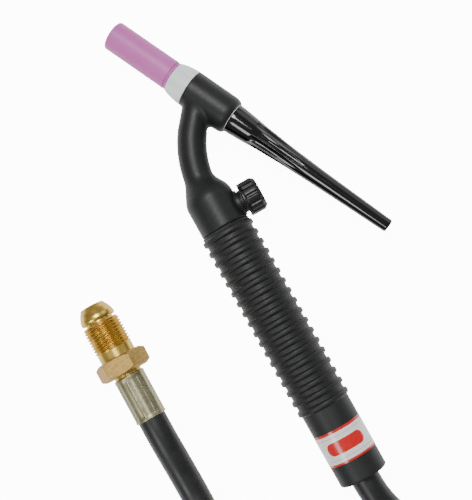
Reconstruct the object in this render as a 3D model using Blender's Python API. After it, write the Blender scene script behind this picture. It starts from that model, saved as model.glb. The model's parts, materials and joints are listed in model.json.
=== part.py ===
"""Air-cooled welding torch with a flexible neck, a gas valve and its one-piece power and gas hose.

The torch lies on its side. Row frame: +Z up, +Y along the handle towards the head, +X towards the valve knob and
the back cap; the origin is on the floor, under the middle of the torch. Lengths are in metres.
"""

import math

import bmesh
import bpy
import numpy as np

# Places. The torch frame's origin is on the handle's axis, at the first rib.
AXIS_HEIGHT = 0.01565
TORCH_X, TORCH_Y = -0.0337, 0.0084
GAP = 0.0003
TURN_STEPS = 24
FINE_STEPS = 32
SMALL_STEPS = 20

# Handle: a ribbed rubber tube with a plain rear sleeve.
RIB_RADIUS, ROOT_RADIUS, SLEEVE_RADIUS = 0.01565, 0.01425, 0.01405
RIB_PITCH, RIB_COUNT = 0.00631, 18
HANDLE_FRONT, HANDLE_REAR = 0.0033, -0.1528
HANDLE_BORE, HANDLE_MOUTH = 0.0123, 0.0095
LABEL_FRONT, LABEL_REAR = -0.1217, -0.1403

# Flexible neck: an arc that leaves the handle's axis and turns towards the knob side.
NECK_RADIUS, NECK_ARC, NECK_START = 0.00845, 0.058, 0.0275
NECK_TURN = math.radians(42)
NECK_FIXED, HEAD_FIXED = math.radians(8), math.radians(38.5)
HEAD_STATION = NECK_TURN + 0.014 / NECK_ARC
NECK_GAP = GAP / NECK_ARC
NECK_TUBE_OUTER, NECK_TUBE_INNER = 0.004, 0.0025
NECK_CHANNEL = 0.0043

# Head, measured from where the neck meets it, positive towards the nozzle.
HEAD_TILT = math.radians(25.4)
HEAD_RADIUS, HEAD_CORE_RADIUS = 0.01105, 0.008
HEAD_FRONT, HEAD_BACK = 0.0066, -0.0226
SHIELD_FRONT, NOZZLE_FRONT = 0.0184, 0.0616
NOZZLE_RADIUS, NOZZLE_BORE, NOZZLE_THREAD_BORE = 0.00875, 0.00635, 0.0059
CAP_END, CAP_FLUTES = -0.1298, 10
ELECTRODE_RADIUS, ELECTRODE_LENGTH, ELECTRODE_TIP = 0.0012, 0.150, 0.0496

# Valve, on an axis across the handle's.
VALVE_Y = 0.0119
BODY_RADIUS, BODY_TOP = 0.014, 0.020
CORE_RADIUS, CORE_NOSE, SKIRT_END = 0.009, 0.0055, -0.0255
BOSS_RADIUS, BOSS_STEP_RADIUS, BOSS_END = 0.0067, 0.0074, 0.0163
KNOB_RADIUS, KNOB_BACK, KNOB_FRONT, KNOB_FLUTES = 0.0101, 0.0168, 0.0274, 12
STEM_RADIUS, STEM_BORE = 0.003, 0.0033
SEAL_PLACE = 0.0100

# Hose and the coil it is put away in.
HOSE_RADIUS, HOSE_TAIL_BORE = 0.00815, 0.0043
COIL_X, COIL_Y = -0.0352, -0.3002
OUTER_TURN, INNER_TURN = 0.110, 0.0630
LAYER_PITCH, COIL_LIFT = 0.0165, 0.0015
STRAP_WIDTH, STRAP_THICKNESS = 0.020, 0.0009
HOSE_POINT_SPACING = 0.018

# Inlet fitting at the hose's far end, lying on a flat of its hexagon.
FITTING_X, HEX_ACROSS_FLATS = -0.088, 0.027
NOSE_FRONT = 0.0024
THREAD_FRONT, THREAD_REAR = -0.0087, -0.0249
THREAD_RADIUS, THREAD_ROOT, THREAD_PITCH = 0.0111, 0.0100, 0.001814
HEX_FRONT, HEX_REAR = -0.0300, -0.0405
FERRULE_FRONT, FERRULE_REAR, FERRULE_RADIUS = -0.0430, -0.0690, 0.00905
NUT_BORE, NIPPLE_BORE = 0.0085, 0.0035


def clear_scene():
    for obj in list(bpy.data.objects):
        bpy.data.objects.remove(obj, do_unlink=True)


def finish_of(name, colour, roughness, metallic=0.0):
    """A Principled material of that colour, made once."""
    material = bpy.data.materials.get(name) or bpy.data.materials.new(name)
    material.use_nodes = True
    shader = material.node_tree.nodes["Principled BSDF"]
    shader.inputs["Base Color"].default_value = (*colour, 1.0)
    shader.inputs["Roughness"].default_value = roughness
    shader.inputs["Metallic"].default_value = metallic
    return material


RUBBER = ("moulded_rubber", (0.022, 0.024, 0.024), 0.6)
HANDLE_RUBBER = ("handle_rubber", (0.026, 0.027, 0.028), 0.65)
HOSE_RUBBER = ("hose_rubber", (0.02, 0.02, 0.021), 0.55)
GLOSS_BLACK = ("cap_phenolic", (0.012, 0.012, 0.013), 0.12)
KNOB_PLASTIC = ("knob_plastic", (0.016, 0.016, 0.018), 0.4)
ALUMINA = ("pink_alumina", (0.58, 0.27, 0.48), 0.45)
PTFE = ("white_ptfe", (0.80, 0.84, 0.84), 0.35)
COPPER = ("copper", (0.72, 0.36, 0.22), 0.35, 1.0)
BRASS = ("brass", (0.62, 0.45, 0.16), 0.3, 1.0)
TUNGSTEN = ("tungsten", (0.35, 0.35, 0.36), 0.4, 1.0)
ZINC = ("plated_steel", (0.42, 0.41, 0.33), 0.45, 1.0)
SILICONE = ("seal_rubber", (0.05, 0.05, 0.05), 0.5)
LABEL = ("label_film", (0.75, 0.75, 0.73), 0.35)
WEBBING = ("strap_webbing", (0.02, 0.02, 0.02), 0.85)


def axis_empty(name, x, y, height, heading, parent=None):
    """An empty whose local Z lies flat, turned by heading from +Y towards -X. A child keeps its place in the row."""
    empty = bpy.data.objects.new(name, None)
    bpy.context.scene.collection.objects.link(empty)
    empty.location = (x, y, height)
    empty.rotation_euler = (-math.pi / 2, 0, heading)
    bpy.context.view_layer.update()
    if parent:
        empty.parent = parent
        empty.matrix_parent_inverse = parent.matrix_world.inverted()
        bpy.context.view_layer.update()
    return empty


def add_mesh(name, bm, finish=None, parent=None):
    """Turns a bmesh into an object under parent, with its faces pointing outwards."""
    bmesh.ops.recalc_face_normals(bm, faces=bm.faces)
    mesh = bpy.data.meshes.new(name)
    bm.to_mesh(mesh)
    bm.free()
    obj = bpy.data.objects.new(name, mesh)
    bpy.context.scene.collection.objects.link(obj)
    obj.parent = parent
    if finish:
        mesh.materials.append(finish_of(*finish))
        mesh.shade_smooth()
        mesh.set_sharp_from_angle(angle=math.radians(30))
    return obj


def turned(name, outline, finish=None, parent=None, steps=TURN_STEPS):
    """Spins a closed outline of (radius, along) points round local Z."""
    bm = bmesh.new()
    points = [bm.verts.new((radius, 0, along)) for radius, along in outline]
    for start, end in zip(points, points[1:] + points[:1]):
        if start.co.x > 0 or end.co.x > 0:
            bm.edges.new((start, end))
    bmesh.ops.spin(
        bm,
        geom=bm.verts[:] + bm.edges[:],
        axis=(0, 0, 1),
        cent=(0, 0, 0),
        angle=2 * math.pi,
        steps=steps,
        use_merge=True,
    )
    bmesh.ops.remove_doubles(bm, verts=bm.verts, dist=1e-7)
    return add_mesh(name, bm, finish, parent)


def rod(name, radius, start, end, parent, finish=None, steps=TURN_STEPS):
    return turned(name, [(0, start), (radius, start), (radius, end), (0, end)], finish, parent, steps)


def ring_outline(inner, outer, start, end):
    return [(inner, start), (outer, start), (outer, end), (inner, end)]


def lofted(name, rings, finish=None, parent=None, endless=False):
    """Joins rings of points, each an array (points, 3). Its ends are filled, or meet when it is endless."""
    bm = bmesh.new()
    rows = [[bm.verts.new(point) for point in ring] for ring in rings]
    pairs = list(zip(rows, rows[1:]))
    if endless:
        pairs.append((rows[-1], rows[0]))
    else:
        bm.faces.new(rows[0])
        bm.faces.new(rows[-1])
    for low, high in pairs:
        for a, b, c, d in zip(low, low[1:] + low[:1], high[1:] + high[:1], high):
            bm.faces.new((a, b, c, d))
    return add_mesh(name, bm, finish, parent)


def helper(obj):
    """Hides an object that only cuts or joins."""
    obj.hide_render = True
    obj.display_type = "WIRE"
    return obj


def combine(obj, other, operation):
    modifier = obj.modifiers.new(f"{operation.lower()} {other.name}", "BOOLEAN")
    modifier.operation = operation
    modifier.object = helper(other)


def cut(obj, other):
    combine(obj, other, "DIFFERENCE")


def join(obj, other):
    combine(obj, other, "UNION")


def neck_station(station):
    """A point of the neck's centre line and the heading there. Below 0 and past NECK_TURN the line runs straight."""
    turn = min(max(station, 0.0), NECK_TURN)
    beyond = NECK_ARC * (station - turn)
    x = TORCH_X + NECK_ARC * (1 - math.cos(turn)) + beyond * math.sin(turn)
    y = TORCH_Y + NECK_START + NECK_ARC * math.sin(turn) + beyond * math.cos(turn)
    return np.array([x, y, AXIS_HEIGHT]), turn


def neck_rod(name, radius, start, end, finish=None, parent=None, count=8, sides=20):
    """A round bar along the neck between two stations, each a length along it in units of the arc's radius."""
    around = 2 * math.pi * np.arange(sides) / sides
    rings = []
    for station in np.linspace(start, end, count):
        point, turn = neck_station(station)
        across = np.array([math.cos(turn), -math.sin(turn), 0])
        up = np.array([0, 0, 1.0])
        circle = np.outer(np.cos(around), across) + np.outer(np.sin(around), up)
        rings.append(point + radius * circle)
    return lofted(name, rings, finish, parent)


def head_centre():
    """Where the neck's straight end meets the head's axis."""
    return neck_station(HEAD_STATION)[0][:2]


def make_handle(axis):
    outline = [(HANDLE_BORE, HANDLE_FRONT), (ROOT_RADIUS + 0.0006, HANDLE_FRONT)]
    half_crest = 0.0012
    for rib in range(RIB_COUNT):
        centre = -RIB_PITCH * rib
        outline += [(RIB_RADIUS, centre + half_crest), (RIB_RADIUS, centre - half_crest)]
        outline += [(ROOT_RADIUS, centre - RIB_PITCH / 2)]
    outline += [
        (SLEEVE_RADIUS, HANDLE_REAR + 0.041),
        (SLEEVE_RADIUS, HANDLE_REAR + 0.003),
        (SLEEVE_RADIUS - 0.0004, HANDLE_REAR + 0.0007),
        (SLEEVE_RADIUS - 0.0012, HANDLE_REAR),
        (HANDLE_MOUTH, HANDLE_REAR),
        (HANDLE_MOUTH, HANDLE_REAR + 0.007),
        (HANDLE_BORE, HANDLE_REAR + 0.013),
    ]
    turned("handle", outline, HANDLE_RUBBER, axis)
    inner = SLEEVE_RADIUS + 0.00005
    film = ring_outline(inner, inner + 0.00015, LABEL_REAR, LABEL_FRONT)
    turned("handle_label", film, LABEL, axis)


def shoulder_outline():
    """The valve body from its skirt in the handle up to the neck: the shoulder falls along half a cosine."""
    skirt, end = 0.0120, 0.0335
    outline = [(skirt, SKIRT_END), (skirt, HANDLE_FRONT + GAP), (BODY_RADIUS, HANDLE_FRONT + GAP)]
    for step in range(7):
        share = step / 6
        fall = (1 + math.cos(math.pi * share)) / 2
        along = BODY_TOP + share * (end + 0.0025 - BODY_TOP)
        outline.append((NECK_RADIUS - 0.0001 + (BODY_RADIUS - NECK_RADIUS) * fall, along))
    return [(0, SKIRT_END)] + outline[:-1] + [(NECK_RADIUS - 0.0002, end), (0, end)]


def make_valve_body(torch, valve):
    moulding = turned("valve_body_moulding", shoulder_outline(), RUBBER, torch)
    join(moulding, neck_rod("neck_root", NECK_RADIUS, 0.02, NECK_FIXED, count=4))
    boss = [
        (0, 0.0095),
        (BOSS_STEP_RADIUS, 0.0095),
        (BOSS_STEP_RADIUS, BOSS_END - 0.0017),
        (BOSS_RADIUS, BOSS_END - 0.0015),
        (BOSS_RADIUS, BOSS_END),
        (0, BOSS_END),
    ]
    join(moulding, turned("knob_boss", boss, parent=valve, steps=SMALL_STEPS))
    space = [
        (0, -0.032),
        (CORE_RADIUS + GAP, -0.032),
        (CORE_RADIUS + GAP, BODY_TOP + GAP),
        (CORE_NOSE + GAP, BODY_TOP + 0.0063),
        (CORE_NOSE + GAP, 0.030),
        (0, 0.030),
    ]
    cut(moulding, turned("core_space", space, parent=torch))
    cut(moulding, neck_rod("neck_space", CORE_NOSE + GAP, 0.0, NECK_FIXED + 0.05, count=5))
    cut(moulding, rod("housing_space", 0.0053, 0.0, 0.020, valve, steps=SMALL_STEPS))

    outline = [
        (0, -0.038),
        (0.0047, -0.038),
        (0.005, -0.0375),
        (0.005, -0.026),
        (CORE_RADIUS, -0.024),
        (CORE_RADIUS, BODY_TOP),
        (CORE_NOSE, BODY_TOP + 0.006),
        (CORE_NOSE, 0.0285),
        (0, 0.0285),
    ]
    core = turned("valve_core", outline, BRASS, torch)
    join(core, neck_rod("core_neck", CORE_NOSE, 0.0, NECK_FIXED, count=5, sides=16))
    join(core, rod("stem_housing", 0.005, 0.0, BOSS_END - 0.0005, valve, steps=SMALL_STEPS))
    cut(core, rod("gas_way", NECK_TUBE_INNER, -0.040, 0.0285, torch, steps=12))
    cut(core, neck_rod("gas_way_bent", NECK_TUBE_INNER - 0.0001, -0.05, NECK_FIXED + 0.05, count=8, sides=16))
    cut(core, rod("stem_space", STEM_BORE, 0.0005, 0.020, valve, steps=SMALL_STEPS))


def make_valve(valve):
    """The needle with its seal, and the knob on the needle's outer end. The origin is on the knob's axis."""
    groove, lips = 0.0020, 0.0007
    stem = [
        (0, 0.0028),
        (0.0012, 0.0048),
        (STEM_RADIUS, 0.0056),
        (STEM_RADIUS, SEAL_PLACE - lips),
        (groove, SEAL_PLACE - lips),
        (groove, SEAL_PLACE + lips),
        (STEM_RADIUS, SEAL_PLACE + lips),
        (STEM_RADIUS, KNOB_FRONT - 0.0034),
        (0, KNOB_FRONT - 0.0034),
    ]
    turned("valve_stem", stem, BRASS, valve, SMALL_STEPS)
    make_seal("stem_o_ring", 0.0027, 0.00045, SEAL_PLACE, valve)
    make_knob(valve)


def make_seal(name, radius, thickness, along, parent):
    """An O-ring: a small circle of that radius of section, turned round the axis."""
    turns = [2 * math.pi * k / 6 for k in range(6)]
    section = [(radius + thickness * math.cos(t), along + thickness * math.sin(t)) for t in turns]
    turned(name, section, SILICONE, parent, 16)


def fluted_ring(radius, depth, flutes, along, count):
    """A circle with rounded grooves: the radius dips by depth at the middle of each flute."""
    around = 2 * math.pi * np.arange(count) / count
    wave = np.clip(-np.cos(flutes * around), 0, 1)
    r = radius - depth * wave
    return np.stack([r * np.cos(around), r * np.sin(around), np.full(count, along)], axis=1)


def make_knob(valve):
    count = KNOB_FLUTES * 4
    rows = [
        (KNOB_RADIUS, 0.0, KNOB_BACK),
        (KNOB_RADIUS, 0.0, KNOB_BACK + 0.0012),
        (KNOB_RADIUS - 0.0001, 0.0007, KNOB_BACK + 0.0016),
        (KNOB_RADIUS - 0.0003, 0.0007, KNOB_FRONT - 0.0022),
        (KNOB_RADIUS - 0.0018, 0.0, KNOB_FRONT),
    ]
    rings = [fluted_ring(radius, depth, KNOB_FLUTES, along, count) for radius, depth, along in rows]
    knob = lofted("valve_knob", rings, KNOB_PLASTIC, valve)
    cut(knob, rod("knob_bore", STEM_BORE, KNOB_BACK - 0.002, KNOB_FRONT - 0.003, valve, steps=SMALL_STEPS))


def make_neck():
    """The bending length of the neck: rubber outside, a copper tube inside."""
    start, end = NECK_FIXED + NECK_GAP, HEAD_FIXED - NECK_GAP
    sleeve = neck_rod("neck_sleeve", NECK_RADIUS, start, end, RUBBER)
    cut(sleeve, neck_rod("sleeve_bore", NECK_CHANNEL, start - 0.05, end + 0.05, sides=16))
    tube = neck_rod("neck_tube", NECK_TUBE_OUTER, start, end, COPPER, sides=16)
    cut(tube, neck_rod("tube_bore", NECK_TUBE_INNER, start - 0.05, end + 0.05, sides=16))


def make_head(head):
    """The brass head in its rubber moulding, with the stub that the neck joins."""
    outline = [(0, HEAD_FRONT), (HEAD_RADIUS, HEAD_FRONT)]
    length = 0.005
    for step in range(5):
        turn = math.pi / 2 * step / 4
        radius = HEAD_RADIUS - 0.0019 * (1 - math.cos(turn))
        outline.append((radius, HEAD_BACK + length - length * math.sin(turn)))
    moulding = turned("head_moulding", outline + [(0, HEAD_BACK)], RUBBER, head, FINE_STEPS)
    join(moulding, neck_rod("neck_stub", NECK_RADIUS, HEAD_FIXED, HEAD_STATION, count=6))
    cut(moulding, rod("head_space", HEAD_CORE_RADIUS + GAP, HEAD_BACK - 0.002, HEAD_FRONT + 0.002, head))
    cut(moulding, neck_rod("stub_space", CORE_NOSE + GAP, HEAD_FIXED - 0.05, HEAD_STATION - 0.05, count=6, sides=16))

    back, front = HEAD_BACK + 0.0004, HEAD_FRONT - GAP
    core = rod("head_core", HEAD_CORE_RADIUS, back, front, head, BRASS)
    join(core, neck_rod("core_stub", CORE_NOSE, HEAD_FIXED, HEAD_STATION - 0.09, count=5, sides=16))
    threads = [
        (0, front + 0.002),
        (0.0053, front + 0.002),
        (0.0053, -0.006),
        (0.0042, -0.006),
        (0.0042, -0.009),
        (0.0066, -0.009),
        (0.0066, back - 0.002),
        (0, back - 0.002),
    ]
    cut(core, turned("head_threads", threads, parent=head))
    cut(core, neck_rod("head_gas_way", NECK_TUBE_INNER, HEAD_FIXED - 0.05, HEAD_STATION - 0.05, count=6, sides=16))


def make_front_end(head):
    """Collet body, collet, electrode, heat shield and nozzle, all on the head's axis."""
    outline = [
        (0.0024, -0.0055),
        (0.0050, -0.0055),
        (0.0050, HEAD_FRONT),
        (0.0058, HEAD_FRONT + 0.0006),
        (0.0058, 0.0120),
        (0.0055, 0.0122),
        (0.0055, 0.0260),
        (0.0042, 0.0272),
        (0.0042, 0.0390),
        (0.0032, 0.0405),
        (0.0016, 0.0405),
        (0.0016, 0.0385),
        (0.0024, 0.0375),
    ]
    body = turned("collet_body", outline, COPPER, head, SMALL_STEPS)
    for name, lean in (("gas_hole_a", 0.0), ("gas_hole_b", math.pi / 2)):
        hole = rod(name, 0.0009, -0.008, 0.008, head, steps=12)
        hole.location = (0, 0, 0.031)
        hole.rotation_euler = (math.pi / 2, 0, lean)
        cut(body, hole)

    grip = [
        (0.0014, -0.0099),
        (0.0029, -0.0099),
        (0.0029, -0.0070),
        (0.0020, -0.0064),
        (0.0020, 0.0350),
        (0.0018, 0.0370),
        (0.0014, 0.0370),
    ]
    collet = turned("collet", grip, COPPER, head, SMALL_STEPS)
    bm = bmesh.new()
    bmesh.ops.create_cube(bm, size=1.0)
    bmesh.ops.scale(bm, vec=(0.008, 0.0005, 0.026), verts=bm.verts)
    bmesh.ops.translate(bm, vec=(0, 0, 0.029), verts=bm.verts)
    cut(collet, add_mesh("collet_slot", bm, parent=head))

    tip = [
        (0, ELECTRODE_TIP - ELECTRODE_LENGTH),
        (ELECTRODE_RADIUS, ELECTRODE_TIP - ELECTRODE_LENGTH),
        (ELECTRODE_RADIUS, ELECTRODE_TIP - 0.0035),
        (0.0002, ELECTRODE_TIP),
        (0, ELECTRODE_TIP),
    ]
    turned("electrode", tip, TUNGSTEN, head, 16)

    rear = HEAD_FRONT + GAP
    dome = [(0.0061, SHIELD_FRONT), (0.0061, rear)]
    for step in range(7):
        share = step / 6
        bulge = math.cos(math.pi / 2 * share) ** 0.8
        dome.append((0.0090 + 0.0020 * bulge, rear + share * (SHIELD_FRONT - rear)))
    turned("heat_shield", dome, PTFE, head)

    back, rim = SHIELD_FRONT + GAP, 0.0008
    cup = [
        (NOZZLE_THREAD_BORE, back),
        (NOZZLE_RADIUS, back),
        (NOZZLE_RADIUS, NOZZLE_FRONT - rim),
        (NOZZLE_RADIUS - 0.3 * rim, NOZZLE_FRONT - 0.3 * rim),
        (NOZZLE_RADIUS - rim, NOZZLE_FRONT),
        (NOZZLE_BORE, NOZZLE_FRONT),
        (NOZZLE_BORE, 0.0290),
        (NOZZLE_THREAD_BORE, 0.0275),
    ]
    turned("nozzle", cup, ALUMINA, head, FINE_STEPS)


def make_cap(head):
    """The long back cap: a threaded nose in the head, a plain collar and a tapering fluted tail."""
    count = CAP_FLUTES * 3
    nose, groove, face = 0.0062, 0.0052, HEAD_BACK - GAP
    seal = HEAD_BACK + 0.0016
    rows = [
        (nose - 0.0006, 0, -0.0102),
        (nose, 0, -0.0110),
        (nose, 0, seal + 0.0008),
        (groove, 0, seal + 0.0008),
        (groove, 0, seal - 0.0008),
        (nose, 0, seal - 0.0008),
        (nose, 0, face),
        (0.0087, 0, face),
        (0.0087, 0, face - 0.0020),
        (0.00815, 0, face - 0.0090),
        (0.0075, 0, face - 0.0140),
        (0.0069, 0.0006, face - 0.0200),
        (0.00635, 0.0009, face - 0.0290),
        (0.0055, 0.0006, face - 0.0410),
        (0.00495, 0.0003, face - 0.0600),
        (0.0044, 0, face - 0.0830),
        (0.00385, 0, CAP_END + 0.0010),
        (0.0033, 0, CAP_END),
    ]
    rings = [fluted_ring(radius, depth, CAP_FLUTES, along, count) for radius, depth, along in rows]
    cap = lofted("back_cap", rings, GLOSS_BLACK, head)
    cut(cap, rod("cap_bore", 0.0018, -0.118, 0.0, head, steps=12))
    make_seal("back_cap_o_ring", 0.00595, 0.0005, seal, head)


def hexagon(name, across_flats, start, end, parent, finish=None):
    """A six-sided bar with its corners at local +X and -X, so that it lies on a flat."""
    corner = across_flats / 2 / math.cos(math.pi / 6)
    around = 2 * math.pi * np.arange(6) / 6
    flat = np.stack([corner * np.cos(around), corner * np.sin(around)], axis=1)
    rings = [np.column_stack([flat, np.full(6, along)]) for along in (start, end)]
    return lofted(name, rings, finish, parent)


def make_cable_joint(torch):
    """Inside the handle: the union nut and nipple that join the hose to the valve body."""
    nut = hexagon("cable_union_nut", 0.017, -0.0450, -0.0262, torch, BRASS)
    bore = [(0, -0.047), (0.0043, -0.047), (0.0043, -0.042), (0.0053, -0.042), (0.0053, -0.024), (0, -0.024)]
    cut(nut, turned("union_bore", bore, parent=torch, steps=SMALL_STEPS))
    nipple = [
        (NECK_TUBE_INNER, -0.0383),
        (0.0050, -0.0383),
        (0.0050, -0.0417),
        (0.0040, -0.0417),
        (0.0040, -0.0750),
        (NECK_TUBE_INNER, -0.0750),
    ]
    turned("cable_nipple", nipple, BRASS, torch, SMALL_STEPS)
    hose = ring_outline(HOSE_TAIL_BORE, HOSE_RADIUS, -0.1470, -0.0500)
    turned("hose_end_handle", hose, HOSE_RUBBER, torch, SMALL_STEPS)
    crimp = ring_outline(HOSE_RADIUS + GAP, 0.0093, -0.0740, -0.0490)
    turned("cable_ferrule", crimp, ZINC, torch, SMALL_STEPS)


def make_fitting(fitting):
    """The far end of the hose: cone-nosed nipple, swivel nut and crimped ferrule."""
    nose = [
        (NIPPLE_BORE, NOSE_FRONT),
        (0.0068, NOSE_FRONT),
        (0.0074, NOSE_FRONT - 0.0006),
        (0.0090, NOSE_FRONT - 0.0035),
        (0.0100, NOSE_FRONT - 0.0062),
        (0.0102, -0.0055),
        (0.0099, -0.0065),
        (0.0080, -0.0067),
        (0.0080, -0.0420),
        (0.0040, -0.0422),
        (0.0040, -0.0660),
        (NIPPLE_BORE, -0.0660),
    ]
    turned("fitting_nipple", nose, BRASS, fitting)

    outline = [(0, THREAD_FRONT), (THREAD_ROOT, THREAD_FRONT)]
    crest = THREAD_FRONT - THREAD_PITCH / 2
    while crest > THREAD_REAR:
        outline += [(THREAD_RADIUS, crest), (THREAD_ROOT, crest - THREAD_PITCH / 2)]
        crest -= THREAD_PITCH
    outline += [(0.0104, THREAD_REAR - 0.0006), (0.0104, HEX_FRONT - 0.002), (0, HEX_FRONT - 0.002)]
    nut = turned("swivel_nut", outline, BRASS, fitting)
    block = hexagon("nut_hexagon", HEX_ACROSS_FLATS, HEX_REAR, HEX_FRONT, fitting)
    corner, flat = 0.0157, 0.0137
    bevel = [
        (0, HEX_REAR - 0.001),
        (flat - 0.0010, HEX_REAR - 0.001),
        (corner, HEX_REAR + 0.0012),
        (corner, HEX_FRONT - 0.0012),
        (flat - 0.0010, HEX_FRONT + 0.001),
        (0, HEX_FRONT + 0.001),
    ]
    combine(block, turned("hexagon_bevel", bevel, parent=fitting), "INTERSECT")
    join(nut, block)
    cut(nut, rod("nut_bore", NUT_BORE, HEX_REAR - 0.002, THREAD_FRONT + 0.002, fitting))

    shell = [
        (HOSE_TAIL_BORE, FERRULE_FRONT),
        (FERRULE_RADIUS, FERRULE_FRONT),
        (FERRULE_RADIUS, FERRULE_REAR),
        (HOSE_RADIUS + GAP, FERRULE_REAR),
        (HOSE_RADIUS + GAP, FERRULE_FRONT - 0.0010),
        (HOSE_TAIL_BORE, FERRULE_FRONT - 0.0010),
    ]
    turned("fitting_ferrule", shell, ZINC, fitting)
    hose = ring_outline(HOSE_TAIL_BORE, HOSE_RADIUS, FERRULE_REAR - 0.003, FERRULE_FRONT - 0.0013)
    turned("hose_end_fitting", hose, HOSE_RUBBER, fitting, SMALL_STEPS)


# Route points of the hose's two loose ends, in the torch frame, with the height above the floor.
TORCH_SIDE = [
    (0.0000, -0.1473, 0.01565),
    (0.0000, -0.1558, 0.01565),
    (0.0005, -0.1649, 0.01546),
    (0.0023, -0.1738, 0.01498),
    (0.0054, -0.1824, 0.01431),
]
FITTING_SIDE = [
    (-0.0880, -0.0725, 0.0135),
    (-0.0880, -0.0790, 0.0134),
    (-0.0880, -0.0880, 0.0124),
    (-0.0880, -0.0980, 0.0106),
    (-0.0880, -0.1080, 0.0091),
    (-0.0880, -0.1190, 0.0083),
    (-0.0880, -0.1292, 0.0087),
    (-0.0880, -0.1394, 0.0099),
    (-0.0880, -0.1495, 0.0116),
    (-0.0881, -0.1597, 0.0137),
    (-0.0887, -0.1697, 0.0160),
    (-0.0902, -0.1797, 0.0184),
    (-0.0928, -0.1895, 0.0208),
]


def smooth_through(points, spacing):
    """Points about that far apart on the Catmull-Rom curve through the given ones."""
    knots = np.array(points)
    padded = np.vstack([2 * knots[0] - knots[1], knots, 2 * knots[-1] - knots[-2]])
    found = [knots[0]]
    for a, b, c, d in zip(padded, padded[1:], padded[2:], padded[3:]):
        steps = max(1, round(float(np.linalg.norm(c - b)) / spacing))
        for t in np.arange(1, steps + 1) / steps:
            curve = 2 * b + (c - a) * t + (2 * a - 5 * b + 4 * c - d) * t**2 + (3 * (b - c) + d - a) * t**3
            found.append(curve / 2)
    return np.array(found)


def make_hose_run(name, route):
    """One loose end of the hose: a curve with a round bevel and filled ends."""
    points = smooth_through(route, HOSE_POINT_SPACING) + np.array([TORCH_X, TORCH_Y, 0])
    curve = bpy.data.curves.new(name, "CURVE")
    curve.dimensions = "3D"
    curve.bevel_depth = HOSE_RADIUS
    curve.bevel_resolution = 3
    curve.use_fill_caps = True
    spline = curve.splines.new("POLY")
    spline.points.add(len(points) - 1)
    spline.points.foreach_set("co", np.column_stack([points, np.ones(len(points))]).ravel())
    curve.materials.append(finish_of(*HOSE_RUBBER))
    bpy.context.scene.collection.objects.link(bpy.data.objects.new(name, curve))


def make_coil():
    """The hose put away: a spiral inwards and one outwards on top of it, as one turned ring, with two straps."""
    inner = INNER_TURN - HOSE_RADIUS
    outer = OUTER_TURN + HOSE_RADIUS
    top = COIL_LIFT + LAYER_PITCH + 2 * HOSE_RADIUS
    edge = 0.006
    section = [
        (inner + edge, COIL_LIFT),
        (outer - edge, COIL_LIFT),
        (outer, COIL_LIFT + edge),
        (outer, top - edge),
        (outer - edge, top),
        (inner + edge, top),
        (inner, top - edge),
        (inner, COIL_LIFT + edge),
    ]
    coil = turned("hose_coil", section, HOSE_RUBBER, steps=40)
    coil.location = (TORCH_X + COIL_X, TORCH_Y + COIL_Y, 0)
    low, high = COIL_LIFT - GAP, top + GAP
    near, far = inner - 0.0012, outer + GAP
    for name, turn in (("coil_strap_left", math.radians(-135)), ("coil_strap_right", math.radians(-45))):
        loops = []
        for grow in (0.0, STRAP_THICKNESS):
            corners = [
                (near - grow, low - grow),
                (far + grow, low - grow),
                (far + grow, high + grow),
                (near - grow, high + grow),
            ]
            for side in (-STRAP_WIDTH / 2, STRAP_WIDTH / 2):
                loops.append(np.array([(x, side, z) for x, z in corners]))
        order = [loops[0], loops[1], loops[3], loops[2]]
        strap = lofted(name, order, WEBBING, endless=True)
        strap.location = coil.location
        strap.rotation_euler = (0, 0, turn)


def main():
    clear_scene()
    torch = axis_empty("torch_axis", TORCH_X, TORCH_Y, AXIS_HEIGHT, 0)
    valve = axis_empty("knob_axis", TORCH_X, TORCH_Y + VALVE_Y, AXIS_HEIGHT, -math.pi / 2)
    (bend_x, bend_y, _), bend_turn = neck_station((NECK_FIXED + HEAD_FIXED) / 2)
    neck = axis_empty("neck_bend", bend_x, bend_y, AXIS_HEIGHT, -bend_turn)
    x, y = head_centre()
    head = axis_empty("head_axis", x, y, AXIS_HEIGHT, HEAD_TILT, neck)
    fitting = axis_empty("fitting_axis", TORCH_X + FITTING_X, TORCH_Y, HEX_ACROSS_FLATS / 2, 0)

    make_handle(torch)
    make_valve_body(torch, valve)
    make_valve(valve)
    make_neck()
    make_head(head)
    make_front_end(head)
    make_cap(head)
    make_cable_joint(torch)
    make_fitting(fitting)
    make_hose_run("hose_torch_side", TORCH_SIDE)
    make_hose_run("hose_fitting_side", FITTING_SIDE)
    make_coil()


main()
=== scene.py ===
"""Looks of an air-cooled arc welding torch with a bendable neck and its coiled hose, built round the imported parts.

The torch lies on its side on the floor. Lengths are in metres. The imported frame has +Y along the handle towards
the head, +X towards the valve knob and the back cap, and +Z up. Each sub-assembly is a class that holds its sizes,
builds its meshes as grids of points worked out with numpy, and dresses them in procedural finishes.
"""

import json
import logging
import math
from collections.abc import Callable
from dataclasses import dataclass, field
from enum import Enum

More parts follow.
